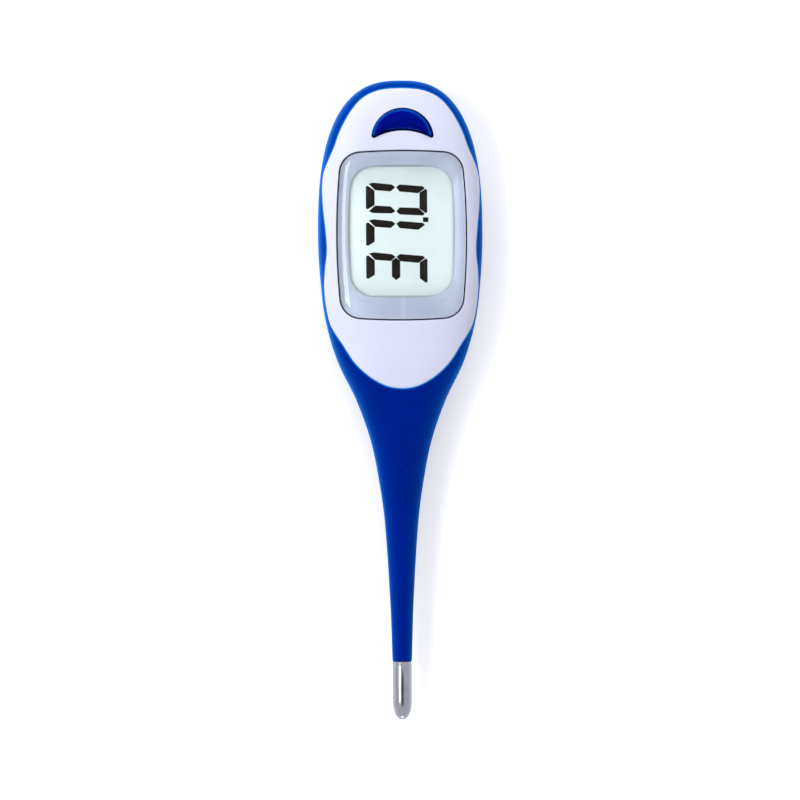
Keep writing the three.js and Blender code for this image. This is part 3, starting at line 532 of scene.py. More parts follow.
def lint(tree, place):
    """Specks about 0.12 mm across and a few millimetres apart."""
    cells = add(tree, "TexVoronoi", Vector=place, Scale=per_metre(2.6), Randomness=1.0)
    return add(tree, "MapRange", Value=cells.outputs["Distance"],
               slot_1=0.03, slot_2=0.05, slot_3=0.5, slot_4=0.0).outputs["Result"]


def painted_rim_highlight(tree, place):
    """Painted highlight: the blue is made paler towards the cap's round upper rim, where its edge
    would catch the light.
    """
    middle = (BUTTON_X - BUTTON_LEFT, OUTER_Y + BUTTON_UP)
    inside, outside = 5.85, 6.5
    off = add(tree, "VectorMath", {"operation": "SUBTRACT"}, slot_0=place,
              slot_1=(middle[0] * MM, middle[1] * MM, 0))
    off = add(tree, "VectorMath", {"operation": "MULTIPLY"}, slot_0=off.outputs[0],
              slot_1=(1, 1, 0))
    reach = add(tree, "VectorMath", {"operation": "LENGTH"}, slot_0=off.outputs[0])
    return add(tree, "MapRange", Value=reach.outputs["Value"], slot_1=inside * MM,
               slot_2=outside * MM, slot_3=0.0, slot_4=0.5).outputs["Result"]


def gate_mark(tree, place):
    """Where the frame was filled: a faint pale band, 1.4 mm wide, under the display."""
    middle, core, half_width = 0.25, 0.35, 0.7
    full, none = 22.3, 22.6
    at = add(tree, "SeparateXYZ", Vector=place)
    off = add(tree, "Math", {"operation": "SUBTRACT"}, slot_0=at.outputs["X"],
              slot_1=middle * MM)
    off = add(tree, "Math", {"operation": "ABSOLUTE"}, slot_0=off.outputs[0])
    across = add(tree, "MapRange", Value=off.outputs[0], slot_1=core * MM,
                 slot_2=half_width * MM, slot_3=0.13, slot_4=0.0)
    below = add(tree, "MapRange", Value=at.outputs["Y"], slot_1=full * MM, slot_2=none * MM,
                slot_3=1.0, slot_4=0.0)
    return add(tree, "Math", {"operation": "MULTIPLY"}, slot_0=across.outputs[0],
               slot_1=below.outputs[0]).outputs[0]


def painted_edge_shade(tree, place):
    """Painted shade: the film is darkened over the last half millimetre before the frame, where
    the frame's recess shades it.
    """
    half_width, half_length, corner, side_bow, _, middle_y = WINDOW.values()
    at = add(tree, "VectorMath", {"operation": "SUBTRACT"}, slot_0=place,
             slot_1=(0, middle_y * MM, 0))
    at = add(tree, "VectorMath", {"operation": "ABSOLUTE"}, slot_0=at.outputs[0])
    parts = add(tree, "SeparateXYZ", Vector=at.outputs[0])
    # The bowed sides are made straight, and the reach is then that from a corner's centre
    lengthwise = add(tree, "Math", {"operation": "MULTIPLY"}, slot_0=parts.outputs["Y"],
                     slot_1=1 / (half_length * MM))
    lengthwise = add(tree, "Math", {"operation": "POWER"}, slot_0=lengthwise.outputs[0],
                     slot_1=2.0)
    bowed = add(tree, "Math", {"operation": "MULTIPLY_ADD"}, slot_0=lengthwise.outputs[0],
                slot_1=side_bow * MM, slot_2=parts.outputs["X"])
    flat = add(tree, "CombineXYZ", X=bowed.outputs[0], Y=parts.outputs["Y"])
    past = add(tree, "VectorMath", {"operation": "SUBTRACT"}, slot_0=flat.outputs[0],
               slot_1=((half_width - corner) * MM, (half_length - corner) * MM, 0))
    past = add(tree, "VectorMath", {"operation": "MAXIMUM"}, slot_0=past.outputs[0],
               slot_1=(0, 0, 0))
    reach = add(tree, "VectorMath", {"operation": "LENGTH"}, slot_0=past.outputs[0])
    return add(tree, "MapRange", Value=reach.outputs["Value"], slot_1=(corner - 0.6) * MM,
               slot_2=(corner - 0.1) * MM, slot_3=0.0, slot_4=0.55).outputs["Result"]


def clear_acrylic():
    """Acrylic window, polished: nearly colourless, with a few soft moulding ripples."""
    material, tree, shader, place = start_material(
        "polished_clear_acrylic", Base_Color=linear("#FDFEFF"), IOR=1.49, Roughness=0.02,
        Transmission_Weight=1.0)
    ripple = add(tree, "TexNoise", Vector=place, Scale=per_metre(12), Detail=1.0)
    height = add(tree, "Bump", Strength=0.02, Distance=0.05 * MM, Height=ripple.outputs["Fac"])
    tree.links.new(height.outputs["Normal"], shader.inputs["Normal"])
    # The lamps light what lies under the window, as they do through a real one
    clear = add(tree, "BsdfTransparent", Color=linear("#F4F7F9"))
    both = add(tree, "MixShader", slot_0=any_ray(tree, "Is Shadow Ray"),
               slot_1=shader.outputs["BSDF"], slot_2=clear.outputs["BSDF"])
    tree.links.new(both.outputs["Shader"], tree.nodes["Material Output"].inputs["Surface"])
    return material


RUBBER = dict(rough=0.42, bump=0.15, spread=0.05, IOR=1.5, Specular_IOR_Level=0.02,
              Specular_Tint=linear("#00A8F8"), Sheen_Weight=1.0)
MATERIALS = {
    # Thermoplastic elastomer, moulded over the shell: satin, deep blue, with a little dust
    "soft_rubber": surface(
        "soft_touch_elastomer", "#000A84", "#00087A", grain_mm=0.35, patch_mm=9, mark=lint,
        mark_colour="#2A78D8", Sheen_Roughness=0.58, Sheen_Tint=linear("#0092FF"), **RUBBER),
    # The same elastomer on the seam's lip, in a paler blue that is a painted highlight of the
    # lip's round edge
    "painted_highlight_rubber": surface(
        "elastomer_painted_highlight", "#0070D0", "#0066C4", grain_mm=0.3, patch_mm=5,
        Sheen_Roughness=0.5, Sheen_Tint=linear("#00A8FF"), **RUBBER),
    # ABS, injection moulded in a lightly sparked tool: cool white with a faint lavender cast
    "white_plastic": surface(
        "white_moulded_abs", "#DFE2F6", "#DBDEF3", rough=0.42, grain_mm=0.3, bump=0.1,
        patch_mm=14, spread=0.05, IOR=1.53, Specular_IOR_Level=0.35),
    # ABS of the button, moulded in a polished tool: dark blue, glossier than the rubber, with a
    # painted highlight along its upper rim
    "button_plastic": surface(
        "blue_button_abs", "#000685", "#000473", rough=0.2, grain_mm=0.25, bump=0.12,
        patch_mm=1.3, spread=0.04, mark=painted_rim_highlight, mark_colour="#0070F0", IOR=1.53,
        Specular_IOR_Level=0.1, Specular_Tint=linear("#0090FF"), Sheen_Weight=1.0,
        Sheen_Roughness=0.38, Sheen_Tint=linear("#0084FF")),
    # Hard ABS under the rubber and in the battery door, sparked: a shade greyer than the rubber
    "chassis_plastic": surface(
        "hard_blue_abs", "#062A92", "#052586", rough=0.42, grain_mm=0.4, bump=0.35,
        patch_mm=6, spread=0.07, IOR=1.53, Specular_IOR_Level=0.5,
        Specular_Tint=linear("#66C0FF")),
    "clear_plastic": clear_acrylic(),
    # Silver lacquer sprayed on the plastic frame: fine metal flake in a bluish binder
    "silver_paint": surface(
        "silver_lacquer", "#BCC5D8", "#B3BCD1", rough=0.42, grain_mm=0.16, bump=0.2,
        patch_mm=9, spread=0.08, mark=gate_mark, mark_colour="#F0EEFF", Metallic=0.4, IOR=1.5),
    # Polariser film on the display: pale cyan, satin, with the faint cloudiness of the film and
    # painted shade along its edge at the frame
    "display_glass": surface(
        "display_polariser", "#E8F4F1", "#E5F1EF", rough=0.45, grain_mm=0.2, bump=0.04,
        patch_mm=10, spread=0.04, mark=painted_edge_shade, mark_colour="#6F7878", IOR=1.5,
        Specular_IOR_Level=0.3),
    # Switched-on liquid crystal: brown-black and even
    "digit_ink": surface(
        "dark_liquid_crystal", "#120703", "#0F0602", rough=0.5, grain_mm=0.2, bump=0.03,
        patch_mm=2, spread=0.04, IOR=1.5, Specular_IOR_Level=0.05),
    # Stainless tube, drawn and polished: bright, with faint lines too fine to count
    "stainless_steel": metal(
        "polished_stainless_tube", "#9EA0AC", "#92949F", rough=0.16, grain_mm=0.22, spread=0.05,
        bump=0.2),
    # Hard spring strip: bright rolled finish
    "spring_steel": metal(
        "rolled_spring_strip", "#CFCFD2", "#C2C3C8", rough=0.26, grain_mm=0.5, spread=0.05),
    # Zinc plating on the screws, bright and slightly blue
    "zinc_steel": metal(
        "zinc_plated_steel", "#B9BEC4", "#A9AEB6", rough=0.32, grain_mm=0.4, spread=0.08),
    # Rolled brass disc of the sounder, satin and warm
    "sounder_brass": metal(
        "rolled_brass", "#CDA453", "#BF9647", rough=0.34, grain_mm=0.5, spread=0.06),
    # Reflector film behind the display: brushed white-silver
    "reflector_film": surface(
        "reflector_film", "#DCE0DD", "#D3D7D4", rough=0.4, grain_mm=0.3, Metallic=0.4),
    # White filled polycarbonate of the display's holder, moulded, with a satin face
    "holder_plastic": surface(
        "white_polycarbonate", "#EEEEE8", "#E6E6DF", rough=0.45, grain_mm=0.4),
    # Silicone of the connectors: cut from sheet, pink with fine dark mottling, dull
    "connector_rubber": surface(
        "striped_silicone", "#DDB0A8", "#C9938B", rough=0.6, grain_mm=0.18, patch_mm=0.2),
    # Glass-fibre board under green solder resist, smooth and half glossy
    "board_laminate": surface(
        "green_solder_resist", "#1E6B3B", "#1A5F34", rough=0.35, grain_mm=0.5),
    # Epoxy glob over the chip, set from a drop: glossy black
    "black_epoxy": surface(
        "black_epoxy", "#141414", "#0E0E0F", rough=0.25, grain_mm=0.8, bump=0.1),
    # Fired ceramic capacitor, matt tan
    "ceramic_chip": surface("fired_ceramic", "#A17F55", "#94734B", rough=0.6, grain_mm=0.2),
    # Printed and glazed resistor body, matt black
    "resistor_body": surface("resistor_glaze", "#1C1C1F", "#151517", rough=0.4, grain_mm=0.2),
    # Foam tape that seals the lens, die cut, matt black with a violet cast; its dark line round
    # the lens is partly painted shade of the gap there
    "black_tape": surface(
        "black_foam_tape_and_gap_shade", "#1A1228", "#150E22", rough=0.8, grain_mm=0.3, bump=0.5),
    # Nitrile rubber of the door's seal, moulded, dull dark grey
    "seal_rubber": surface("nitrile_rubber", "#3C3C42", "#343439", rough=0.7, grain_mm=0.3),
    # PVC drawn thinly over tinned wire, in two colours, satin
    "red_wire": surface("red_pvc", "#B42222", "#A51D1D", rough=0.45, grain_mm=0.3),
    "black_wire": surface("black_pvc", "#232326", "#1C1C1F", rough=0.45, grain_mm=0.3),
    # Glass-coated sensor bead, fused: smooth and dark
    "glass_bead": surface(
        "glass_bead", "#27304A", "#202941", rough=0.15, grain_mm=0.4, bump=0.05),
    # Potting resin, poured and set: amber and glossy
    "clear_epoxy": surface("amber_epoxy", "#CDBB8E", "#C2AF80", rough=0.25, grain_mm=0.6),
}


# Blue rubber
def crown_rows(inset):
    """Places of loops from the top of the head down to its widest line."""
    steps = 30
    return [WIDEST + (CROWN - inset) * sin(mix(pi / 2, 0, i / steps)) for i in range(steps)]


def panel_plug():
    """A solid that cuts square to the front surface along the panel's seam."""
    middle = [(0, LENS["y"])] * SEAM_STEPS
    loops = [lift(middle, AXIS_Z + 2.5)]
    loops += [seam_loop(SEAM_GAP, rise) for rise in (-RIM_DEPTH, -RIM_DEPTH / 2, 0, 1.3, 2.6)]
    loops += [lift(middle, TOP_Z + 8)]
    return wrap("plug", loops)


def skin_upper():
    """Rubber of the head, neck and upper stem: its outside, its bore, then its inside."""
    places = crown_rows(0) + list(np.linspace(WIDEST, STEM_SPLIT, 56))
    loops = [body_loop(y) for y in places]
    loops += [round_loop(BORE_RADIUS, y) for y in np.linspace(STEM_SPLIT, POCKET_END, 20)]
    inner = list(np.linspace(POCKET_END, WIDEST, 32))[:-1] + crown_rows(SKIN)[::-1]
    loops += [body_loop(y, SKIN) for y in inner]
    obj = wrap("skin_upper", loops)
    carve(obj, panel_plug())
    carve(obj, prism(door_outline(DOOR_GAP), -4, 3))
    return finish_mesh(obj, "skin_upper", 40)


def skin_lower():
    """Rubber of the lower stem: its outside, an eased end, the spigot in the cap and the bore."""
    places = list(np.linspace(STEM_SPLIT, STEM_END + 0.25, 16))
    loops = [body_loop(y) for y in places]
    loops += [round_loop(STEM_HALF - 0.06, STEM_END + 0.1), round_loop(STEM_HALF - 0.2, STEM_END)]
    loops += [round_loop(SPIGOT_RADIUS, y) for y in (STEM_END, SPIGOT_END)]
    loops += [round_loop(BORE_RADIUS, y) for y in np.linspace(SPIGOT_END, STEM_SPLIT, 18)]
    return wrap("skin_lower", loops + loops[:1])


def seam_lip():
    """A fine rounded lip along the seam, where the rubber was pinched off in the mould."""
    radius, out, proud = 0.15, 0.05, 0.06
    loops = [seam_loop(out + radius * cos(a), proud - radius + radius * sin(a))
             for a in np.linspace(0, 2 * pi, 13)]
    return wrap("seam_lip", loops[:-1] + loops[:1])


# White panel, lens, and what lies between them
def front_panel():
    """Rim, outer face, seat and ledge of the lens and inner face, with the button's hole."""
    centre = (0.0, LENS["y"])
    angles = directions(SEAM_PLAN, centre)
    edge, seat_gap, seat_edge = 0.3, 0.24, 0.16
    # Insets of the inner face, of the lens's ledge and of the ledge's underside
    inner, ledge, under = 1.8, 2.25, 3.3
    rim_wall, seat_wall, seat_hollow, window_margin = 1.75, 1.0, 1.95, 1.25

    def seat(margin):
        return seen_from(bowed_outline(LENS, margin), centre, angles)

    loops = [seam_loop(-SEAM_GAP, -RIM_DEPTH), seam_loop(-SEAM_GAP, -inner)]
    for a in np.linspace(0, pi / 2, 5):
        loops.append(seam_loop(-SEAM_GAP - edge * (1 - cos(a)), -edge * (1 - sin(a))))
    rim = [(x, y) for x, y, _ in loops[-1]]
    mouth = seat(seat_gap + seat_edge)
    for share in np.linspace(0, 1, 17)[1:]:
        loops.append(over(between(rim, mouth, share), 0))
    for a in np.linspace(0, pi / 2, 4)[1:]:
        plan = seat(seat_gap + seat_edge * (1 - sin(a)))
        loops.append(over(plan, 0, seat_edge * (1 - cos(a))))
    window = seen_from(bowed_outline(WINDOW, window_margin), centre, angles)
    loops += [over(seat(seat_gap), ledge), over(window, ledge), over(window, under)]
    loops += [over(seat(seat_wall), under), over(seat(seat_wall), inner)]
    loops += [over(seat(seat_hollow), inner)]
    loops += [seam_loop(-rim_wall, -inner), seam_loop(-rim_wall, -RIM_DEPTH), loops[0]]
    panel = wrap("front_panel", loops)
    carve(panel, prism(crescent(0.03), 9, 20))
    return finish_mesh(panel, "front_panel", 40)


def crowned_plate(name, outline_at, underside, centre, proud, edge, drop, rows):
    """A plate whose top follows the front surface, with an edge that drops in a quarter round."""
    ease = 0.12
    loops = [over(towards(centre, outline_at(-edge), share), -proud)
             for share in np.linspace(0, 1, rows + 1)]
    for a in np.linspace(0, pi / 2, 10)[1:]:
        loops.append(over(outline_at(-edge + edge * sin(a)), -proud, drop * (1 - cos(a))))
    loops.append(underside(outline_at(0), ease))
    for share in np.linspace(1, 0, 4):
        loops.append(underside(towards(centre, outline_at(-ease), share), 0))
    return wrap(name, loops)


def lens_window():
    """The clear window, which fills its seat but for a fine gap."""
    gap, under = 0.08, 1.0
    return crowned_plate(
        "lens_window", outline_at=lambda margin: bowed_outline(LENS, margin - gap),
        underside=lambda plan, rise: over(plan, under, -rise), centre=(0.0, LENS["y"]),
        proud=0.2, edge=1.1, drop=0.6, rows=28)


def lens_seal():
    """Black tape under the lens, with the adhesive that rises round its side; that dark rise fills
    the gap round the lens and stands in for the gap's shade.
    """
    centre = (0.0, WINDOW["y"])
    outer = bowed_outline(LENS, 0.22)
    angles = directions(outer, centre)
    side = seen_from(bowed_outline(LENS, -0.07), centre, angles)
    window = seen_from(bowed_outline(WINDOW, 1.3), centre, angles)
    # Insets of the adhesive's top, the tape's face and its back
    top, face, back = 0.16, 1.7, 2.1
    loops = [over(outer, back), over(outer, top), over(side, top), over(side, face),
             over(window, face), over(window, back)]
    return wrap("lens_seal", loops + loops[:1])


def display_frame():
    """The silver frame: it follows the lens, turns down at the window and ends on the glass."""
    centre = (0.0, WINDOW["y"])
    outer = bowed_outline(LENS, -0.3)
    angles = directions(outer, centre)
    # Insets of the face at its outer side and at the window, and of the back at the outer side
    high, low, side_foot, back = 1.15, 1.95, 1.55, 1.6
    edge, wall_in, wall_out, wall_top, glass_z = 0.1, 0.3, 0.9, 0.5, 12.45

    def window(margin):
        return seen_from(bowed_outline(WINDOW, margin), centre, angles)

    loops = [over(outer, side_foot), over(outer, high)]
    mouth = window(edge)
    for share in np.linspace(0, 1, 9)[1:]:
        loops.append(over(between(outer, mouth, share), mix(high, low, share ** 1.3)))
    for a in np.linspace(0, pi / 2, 5)[1:]:
        loops.append(over(window(edge - edge * sin(a)), low, edge * (1 - cos(a))))
    loops += [over(window(wall_in), low + wall_top), lift(window(wall_in), glass_z)]
    loops += [lift(window(wall_out), glass_z), over(window(wall_out), low + wall_top)]
    loops += [over(outer, back), loops[0]]
    return wrap("display_frame", loops)


def button_cap():
    """The dark blue crescent, with its guide flange and the plunger that presses the dome."""
    def outline_at(margin):
        return [(x - BUTTON_LEFT, y + BUTTON_UP) for x, y in crescent(margin - BUTTON_GAP)]

    button = crowned_plate(
        "button_cap", outline_at, underside=lambda plan, rise: lift(plan, BUTTON_FOOT + rise),
        centre=(BUTTON_X, 61.2), proud=0.4, edge=0.62, drop=0.45, rows=10)
    guide = prism(crescent(0.4), BUTTON_FOOT, 12.1)
    plunger = cylinder(1.5, 60.6, 8.95, BUTTON_FOOT + 0.2)
    carve(button, guide, "UNION")
    carve(button, plunger, "UNION")
    return finish_mesh(button, "button_cap")


# Display and digits
def display_cell():
    """Two sheets of glass, the lower one longer, with eased edges."""
    width = 24
    upper, lower = (ease_edges(block((width, length, thick), WINDOW["y"], middle_z), 0.1, 2)
                    for length, thick, middle_z in ((29.2, 0.95, 11.825), (30.6, 0.96, 10.88)))
    carve(upper, lower, "UNION")
    return finish_mesh(upper, "display_cell")


# Bars of a numeral: each point is so far up it and so far along the line of text. The numerals
# stand with their tops to the left.
DIGIT_BARS = {
    "a": [(6.5, 2.3), (6.1, 2.5), (4.75, 1.53), (4.75, -1.53), (6.2, -2.52), (6.5, -2.3)],
    "b": [(5.81, 2.98), (4.97, 3.25), (0.92, 3.1), (0.19, 2.62), (1.14, 1.72), (4.54, 1.75)],
    "c": [(-0.9, 3.22), (-5.94, 3.13), (-6.29, 2.78), (-4.95, 1.69), (-0.9, 1.8), (-0.2, 2.66)],
    "d": [(-5.3, 1.72), (-6.62, 2.6), (-6.86, 2.31), (-6.86, -2.31), (-6.62, -2.6), (-5.3, -1.72)],
    "g": [(0.85, 1.68), (0.0, 2.39), (-0.85, 1.68), (-0.85, -1.68), (0.0, -2.39), (0.85, -1.68)],
}
DIGIT_BARS["e"] = [(up, -along) for up, along in DIGIT_BARS["c"]]
DIGIT_BARS["f"] = [(up, -along) for up, along in DIGIT_BARS["b"]]
DIGITS = {"three": (29.12, "abcdg"), "seven": (36.36, "abc"), "zero": (44.37, "abcdef")}
DIGIT_MIDDLE_X, DIGIT_LEAN, DIGIT_LEAN_FROM = -1.2, 0.065, -7.58


def grown(outline, margin):
    """A bar's outline with every side moved outwards."""
    points = np.array(outline, float)
    back, ahead = points - np.roll(points, 1, axis=0), np.roll(points, -1, axis=0) - points
    turn = np.sign(np.sum(np.cross(back, ahead)))
    moved = []
    for p, a, b in zip(points, back, ahead):
        na, nb = (np.array([v[1], -v[0]]) * turn / np.linalg.norm(v) for v in (a, b))
        moved.append(tuple(p + (na + nb) * margin / (1 + na @ nb)))
    return moved


def digit(name, middle_y, bars):
    """The lit bars of one numeral, as thin plates on the glass, leaning as the numerals do."""
    made = []
    for bar in bars:
        outline = []
        for up, along in grown(DIGIT_BARS[bar], 0.07):
            x = DIGIT_MIDDLE_X - up
            outline.append((x, middle_y + along - DIGIT_LEAN * (x - DIGIT_LEAN_FROM)))
        made.append(prism(outline, *INK))
    only(made[0])
    for other in made[1:]:
        other.select_set(True)
    bpy.ops.object.join()
    return finish_mesh(bpy.context.object, "digit_" + name, 20)


def digit_point():
    point = prism(rounded_outline(0.6, 0.52, 0.08, 39.45, arc=3, xc=5.36), *INK)
    return finish_mesh(point, "digit_point", 20)


# Probe
def steel_cap():
    """Drawn tube with a domed end: profile rows from the tip round the open end to the inside."""
    radius, wall, dome = 2.07, 0.32, 4.2
    blunt = 2 / 2.3
    rows = [(radius * sin(a) ** blunt, TIP + dome - dome * max(0, cos(a)) ** blunt)
            for a in np.linspace(0, pi / 2, 26)]
    rows += [(radius, TIP + dome + 4), (radius, STEM_END - 0.14), (radius - 0.05, STEM_END - 0.04),
             (radius - 0.12, STEM_END - 0.02), (radius - wall + 0.06, STEM_END - 0.02),
             (radius - wall, STEM_END - 0.08)]
    rows += [((radius - wall) * sin(a), TIP + dome - (dome - wall) * cos(a))
             for a in np.linspace(pi / 2, 0, 10)]
    return wrap("steel_cap", [round_loop(r, y, 72) for r, y in rows], 50)


# Back
def battery_door():
    """Flat door with a round edge all round, a sink for its screw and the screw's hole."""
    low, high, edge = 0.25, 1.55, 0.3
    sink_radius, sink_top, hole_radius = 1.8, 1.05, 1.1
    middle = (0, DOOR["y"])
    loops = [lift(towards(middle, door_outline(-edge), share), low) for share in (0, 0.35, 0.7, 1)]
    for a in np.linspace(0, pi / 2, 5)[1:]:
        loops.append(lift(door_outline(-edge + edge * sin(a)), low + edge * (1 - cos(a))))
    loops += [lift(door_outline(0), high), lift([middle] * len(loops[0]), high)]
    door = wrap("battery_door", loops)
    carve(door, cylinder(sink_radius, SCREW_Y, -1, sink_top))
    carve(door, cylinder(hole_radius, SCREW_Y, -1, 3))
    return finish_mesh(door, "battery_door")


def door_screw():
    """Pan head with a cross recess, and its shank."""
    head = ease_edges(cylinder(1.5, SCREW_Y, 0.375, 0.925), 0.16, 3)
    carve(head, cylinder(0.8, SCREW_Y, 0.6, 4.325), "UNION")
    for turn in (0, pi / 2):
        carve(head, block((1.9, 0.34, 0.5), SCREW_Y, 0.4, turn))
    return finish_mesh(head, "door_screw")


# Lead wires, one length for each half of the stem
BOARD_END = [(1.6, 13.0, 7.6), (1.6, 10.0, 7.6), (0.9, 1.0, 7.75)]
WIRE_END = -66.1


def wire(name, side, points):
    """A round wire through points, which are given for the right-hand one."""
    curve = bpy.data.curves.new(name, "CURVE")
    curve.dimensions = "3D"
    curve.bevel_depth = 0.25 * MM
    curve.bevel_resolution = 3
    curve.use_fill_caps = True
    line = curve.splines.new("BEZIER")
    line.bezier_points.add(len(points) - 1)
    for knot, (x, y, z) in zip(line.bezier_points, points):
        knot.co = (side * x * MM, y * MM, z * MM)
        knot.handle_left_type = knot.handle_right_type = "AUTO"
    line.resolution_u = 12
    obj = bpy.data.objects.new(name, curve)
    bpy.context.scene.collection.objects.link(obj)
    only(obj)
    bpy.ops.object.convert(target="MESH")
    return finish_mesh(bpy.context.object, name)


def stem_points(start, end):
    """Points of a wire down the bore, close together."""
    off_axis, step = 0.4, 1.5
    count = int(abs(start - end) / step) + 2
    return [(off_axis, y, AXIS_Z) for y in np.linspace(start, end, count)]


# The pieces
def dress(obj, finish):
    obj.data.materials.clear()
    obj.data.materials.append(MATERIALS[finish])


def fit_piece(obj, finish, body, *replaced, slot=None):
    """Gives a piece its material and body, and hides the solids that it stands in for; slot is not
    used.
    """
    dress(obj, finish)
    if body:
        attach(obj, body)
    if replaced:
        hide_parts(*replaced)


def fit_upper(piece, finish, node):
    """A length of the stem's upper part: takes its finish, hides the solid it stands for and keeps
    its place in its mesh.
    """
    fit_piece(piece, finish, None, node)
    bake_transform(piece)


def fit_lower(piece, finish, node):
    """A length of the stem's lower part: takes its finish, hides the solid it stands for and keeps
    its place in its mesh.
    """
    fit_piece(piece, finish, None, node)
    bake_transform(piece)


fit_upper(skin_upper(), "soft_rubber", "soft_body")
fit_lower(skin_lower(), "soft_rubber", "soft_body")
# The lip's paler blue is a painted highlight along the seam
fit_piece(seam_lip(), "painted_highlight_rubber", "housing", slot="soft_rubber")
fit_piece(front_panel(), "white_plastic", "housing", "front_cover")
fit_piece(lens_window(), "clear_plastic", "housing", "lens")
fit_piece(lens_seal(), "black_tape", "housing", "lens_gasket")
fit_piece(display_frame(), "silver_paint", "housing", "display_bezel")
fit_piece(button_cap(), "button_plastic", "button", "power_button")
fit_piece(steel_cap(), "stainless_steel", "probe_tip", "steel_cap")
fit_piece(display_cell(), "display_glass", "housing", "lcd_cell")
for word, (middle_y, bars) in DIGITS.items():
    fit_piece(digit(word, middle_y, bars), "digit_ink", "housing", slot="display_glass")
fit_piece(digit_point(), "digit_ink", "housing", slot="display_glass")
fit_piece(battery_door(), "chassis_plastic", "door", "battery_door", slot="door_plastic")
fit_piece(door_screw(), "zinc_steel", "door", "door_screw")
for side, word, finish in ((-1, "left", "black_wire"), (1, "right", "red_wire")):
    upper_points = BOARD_END + stem_points(-4, STEM_SPLIT)
    fit_upper(wire(f"wire_{word}_upper", side, upper_points), finish, f"lead_wire_{word}")
    lower_points = stem_points(STEM_SPLIT, WIRE_END)
    fit_lower(wire(f"wire_{word}_lower", side, lower_points), finish, f"lead_wire_{word}")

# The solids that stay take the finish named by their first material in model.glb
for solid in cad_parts.values():
    if not solid.hide_render:
        dress(solid, solid.data.materials[0].name.split(".")[0])


# Floor, light and camera
def floor():
    """Matt white paper, which shows a little brighter than it is lit, and not from below."""
    bpy.ops.object.select_all(action="DESELECT")
    bpy.ops.mesh.primitive_plane_add(size=6, location=(0, 0, -0.05 * MM))
    obj = bpy.context.object
    obj.name = obj.data.name = "floor"
    material = bpy.data.materials.new("matt_white_paper")
    material.use_nodes = True
    tree = material.node_tree
    tree.nodes.clear()
    seen = any_ray(tree, "Is Camera Ray", "Is Glossy Ray", "Is Transmission Ray")
    paper = add(tree, "BsdfDiffuse", Color=linear("#F7F7F7"))
    glow = add(tree, "Emission", Color=linear("#FFFFFF"))
    strength = add(tree, "Math", {"operation": "MULTIPLY"}, slot_0=seen, slot_1=0.35)
    tree.links.new(strength.outputs[0], glow.inputs["Strength"])
    both = add(tree, "AddShader", slot_0=paper.outputs[0], slot_1=glow.outputs[0])
    clear = add(tree, "BsdfTransparent")
    sided = add(tree, "MixShader", slot_0=add(tree, "NewGeometry").outputs["Backfacing"],
                slot_1=both.outputs[0], slot_2=clear.outputs[0])
    out = tree.nodes.new("ShaderNodeOutputMaterial")
    tree.links.new(sided.outputs[0], out.inputs["Surface"])
    obj.data.materials.append(material)


def room():
    """White where it is seen; as light, weaker to the right; in mirrors, darker overhead."""
    world = bpy.context.scene.world or bpy.data.worlds.new("studio")
    bpy.context.scene.world = world
    world.use_nodes = True
    tree = world.node_tree
    background = tree.nodes["Background"]
    ray = add(tree, "SeparateXYZ", Vector=add(tree, "TexCoord").outputs["Generated"])
    side = add(tree, "MapRange", Value=ray.outputs["X"], slot_1=-1.0, slot_2=1.0,
               slot_3=0.51, slot_4=0.21)
    tree.links.new(side.outputs["Result"], background.inputs["Strength"])
    ceiling = add(tree, "ValToRGB", Fac=ray.outputs["Z"])
    for stop, position, hex_colour in zip(ceiling.color_ramp.elements, (0.9, 0.99),
                                          ("#F2F3FF", "#B8BACB")):
        stop.position, stop.color = position, linear(hex_colour)
    tree.links.new(ceiling.outputs["Color"], background.inputs["Color"])
    overhead = add(tree, "MapRange", Value=ray.outputs["Z"], slot_1=0.95, slot_2=0.99,
                   slot_3=1.0, slot_4=0.14)
    mirrored = add(tree, "Background", Color=linear("#FFFFFF"),
                   Strength=overhead.outputs["Result"])
    white = add(tree, "Background", Color=linear("#FFFFFF"), Strength=1.0)
    shown = add(tree, "MixShader", slot_0=any_ray(tree, "Is Glossy Ray", "Is Transmission Ray"),
                slot_1=background.outputs[0], slot_2=mirrored.outputs[0])
    shown = add(tree, "MixShader", slot_0=any_ray(tree, "Is Camera Ray"),
                slot_1=shown.outputs[0], slot_2=white.outputs[0])
    tree.links.new(shown.outputs[0], tree.nodes["World Output"].inputs["Surface"])


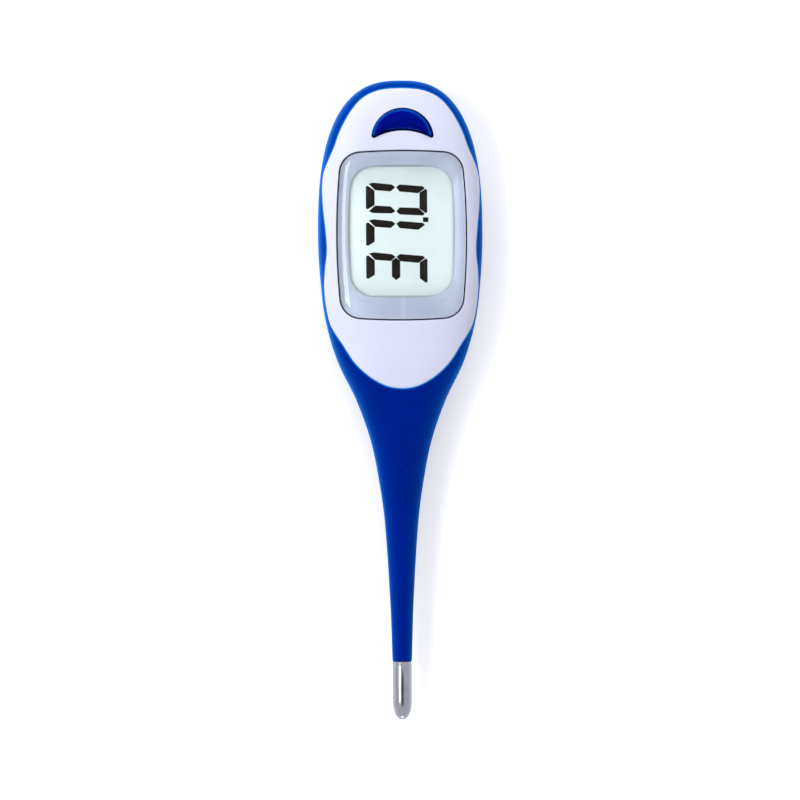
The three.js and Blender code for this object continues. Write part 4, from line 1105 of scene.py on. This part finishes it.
def softbox(name, place, aim, upright, level, watts, mirrored=True):
    """A lamp with an upright and a level side, in metres; only some show in mirrors."""
    lamp = bpy.data.lights.new(name, "AREA")
    lamp.shape = "RECTANGLE"
    lamp.size, lamp.size_y, lamp.energy = level, upright, watts
    obj = bpy.data.objects.new(name, lamp)
    bpy.context.scene.collection.objects.link(obj)
    obj.location = place
    obj.rotation_euler = (Vector(aim) - Vector(place)).to_track_quat("-Z", "Y").to_euler()
    obj.visible_glossy = obj.visible_transmission = mirrored


def lamps():
    """Place, aim, sides and watts of each lamp."""
    softbox("left_strip", (-0.55, 0.1, 0.835), (0, 0.1, 0), 0.3, 0.42, 2.8)
    softbox("left_low", (-0.98, 0.5, 0.12), (0, 0.02, 0), 0.22, 1.1, 1.6, mirrored=False)
    softbox("top_end", (-0.2, 1.15, 0.36), (0, 0.02, 0), 0.4, 0.9, 7.5, mirrored=False)
    softbox("low_end", (-0.45, -0.8, 0.62), (0, -0.03, 0), 0.4, 0.6, 2.2, mirrored=False)
    softbox("tip_glint", (-0.05, -1.0, 0.12), (0, -0.07, 0), 0.14, 0.5, 1.4)
    softbox("right_fill", (0.3, 0.3, 1.0), (0, 0.1, 0), 0.8, 1.3, 3.9, mirrored=False)


def camera():
    """A long lens straight over the display, three degrees from the left."""
    lens_mm, sensor_mm, picture_pixels, pixel_mm = 1000.0, 36.0, 800, 0.2191
    distance = picture_pixels * pixel_mm * MM * lens_mm / sensor_mm
    data = bpy.data.cameras.new("camera")
    data.lens, data.sensor_width = lens_mm, sensor_mm
    data.clip_start, data.clip_end = 0.05, 20
    obj = bpy.data.objects.new("camera", data)
    bpy.context.scene.collection.objects.link(obj)
    lean, turn = radians(3), radians(-0.27)
    aim = Vector((-0.22 * MM, 0, AXIS_Z * MM))
    obj.location = aim + Vector((-sin(lean) * distance, 0, cos(lean) * distance))
    facing = Matrix.Rotation(-lean, 4, "Y") @ Matrix.Rotation(turn, 4, "Z")
    obj.rotation_euler = facing.to_euler()
    bpy.context.scene.camera = obj


floor()
room()
lamps()
camera()
bpy.context.scene.view_settings.view_transform = "Standard"
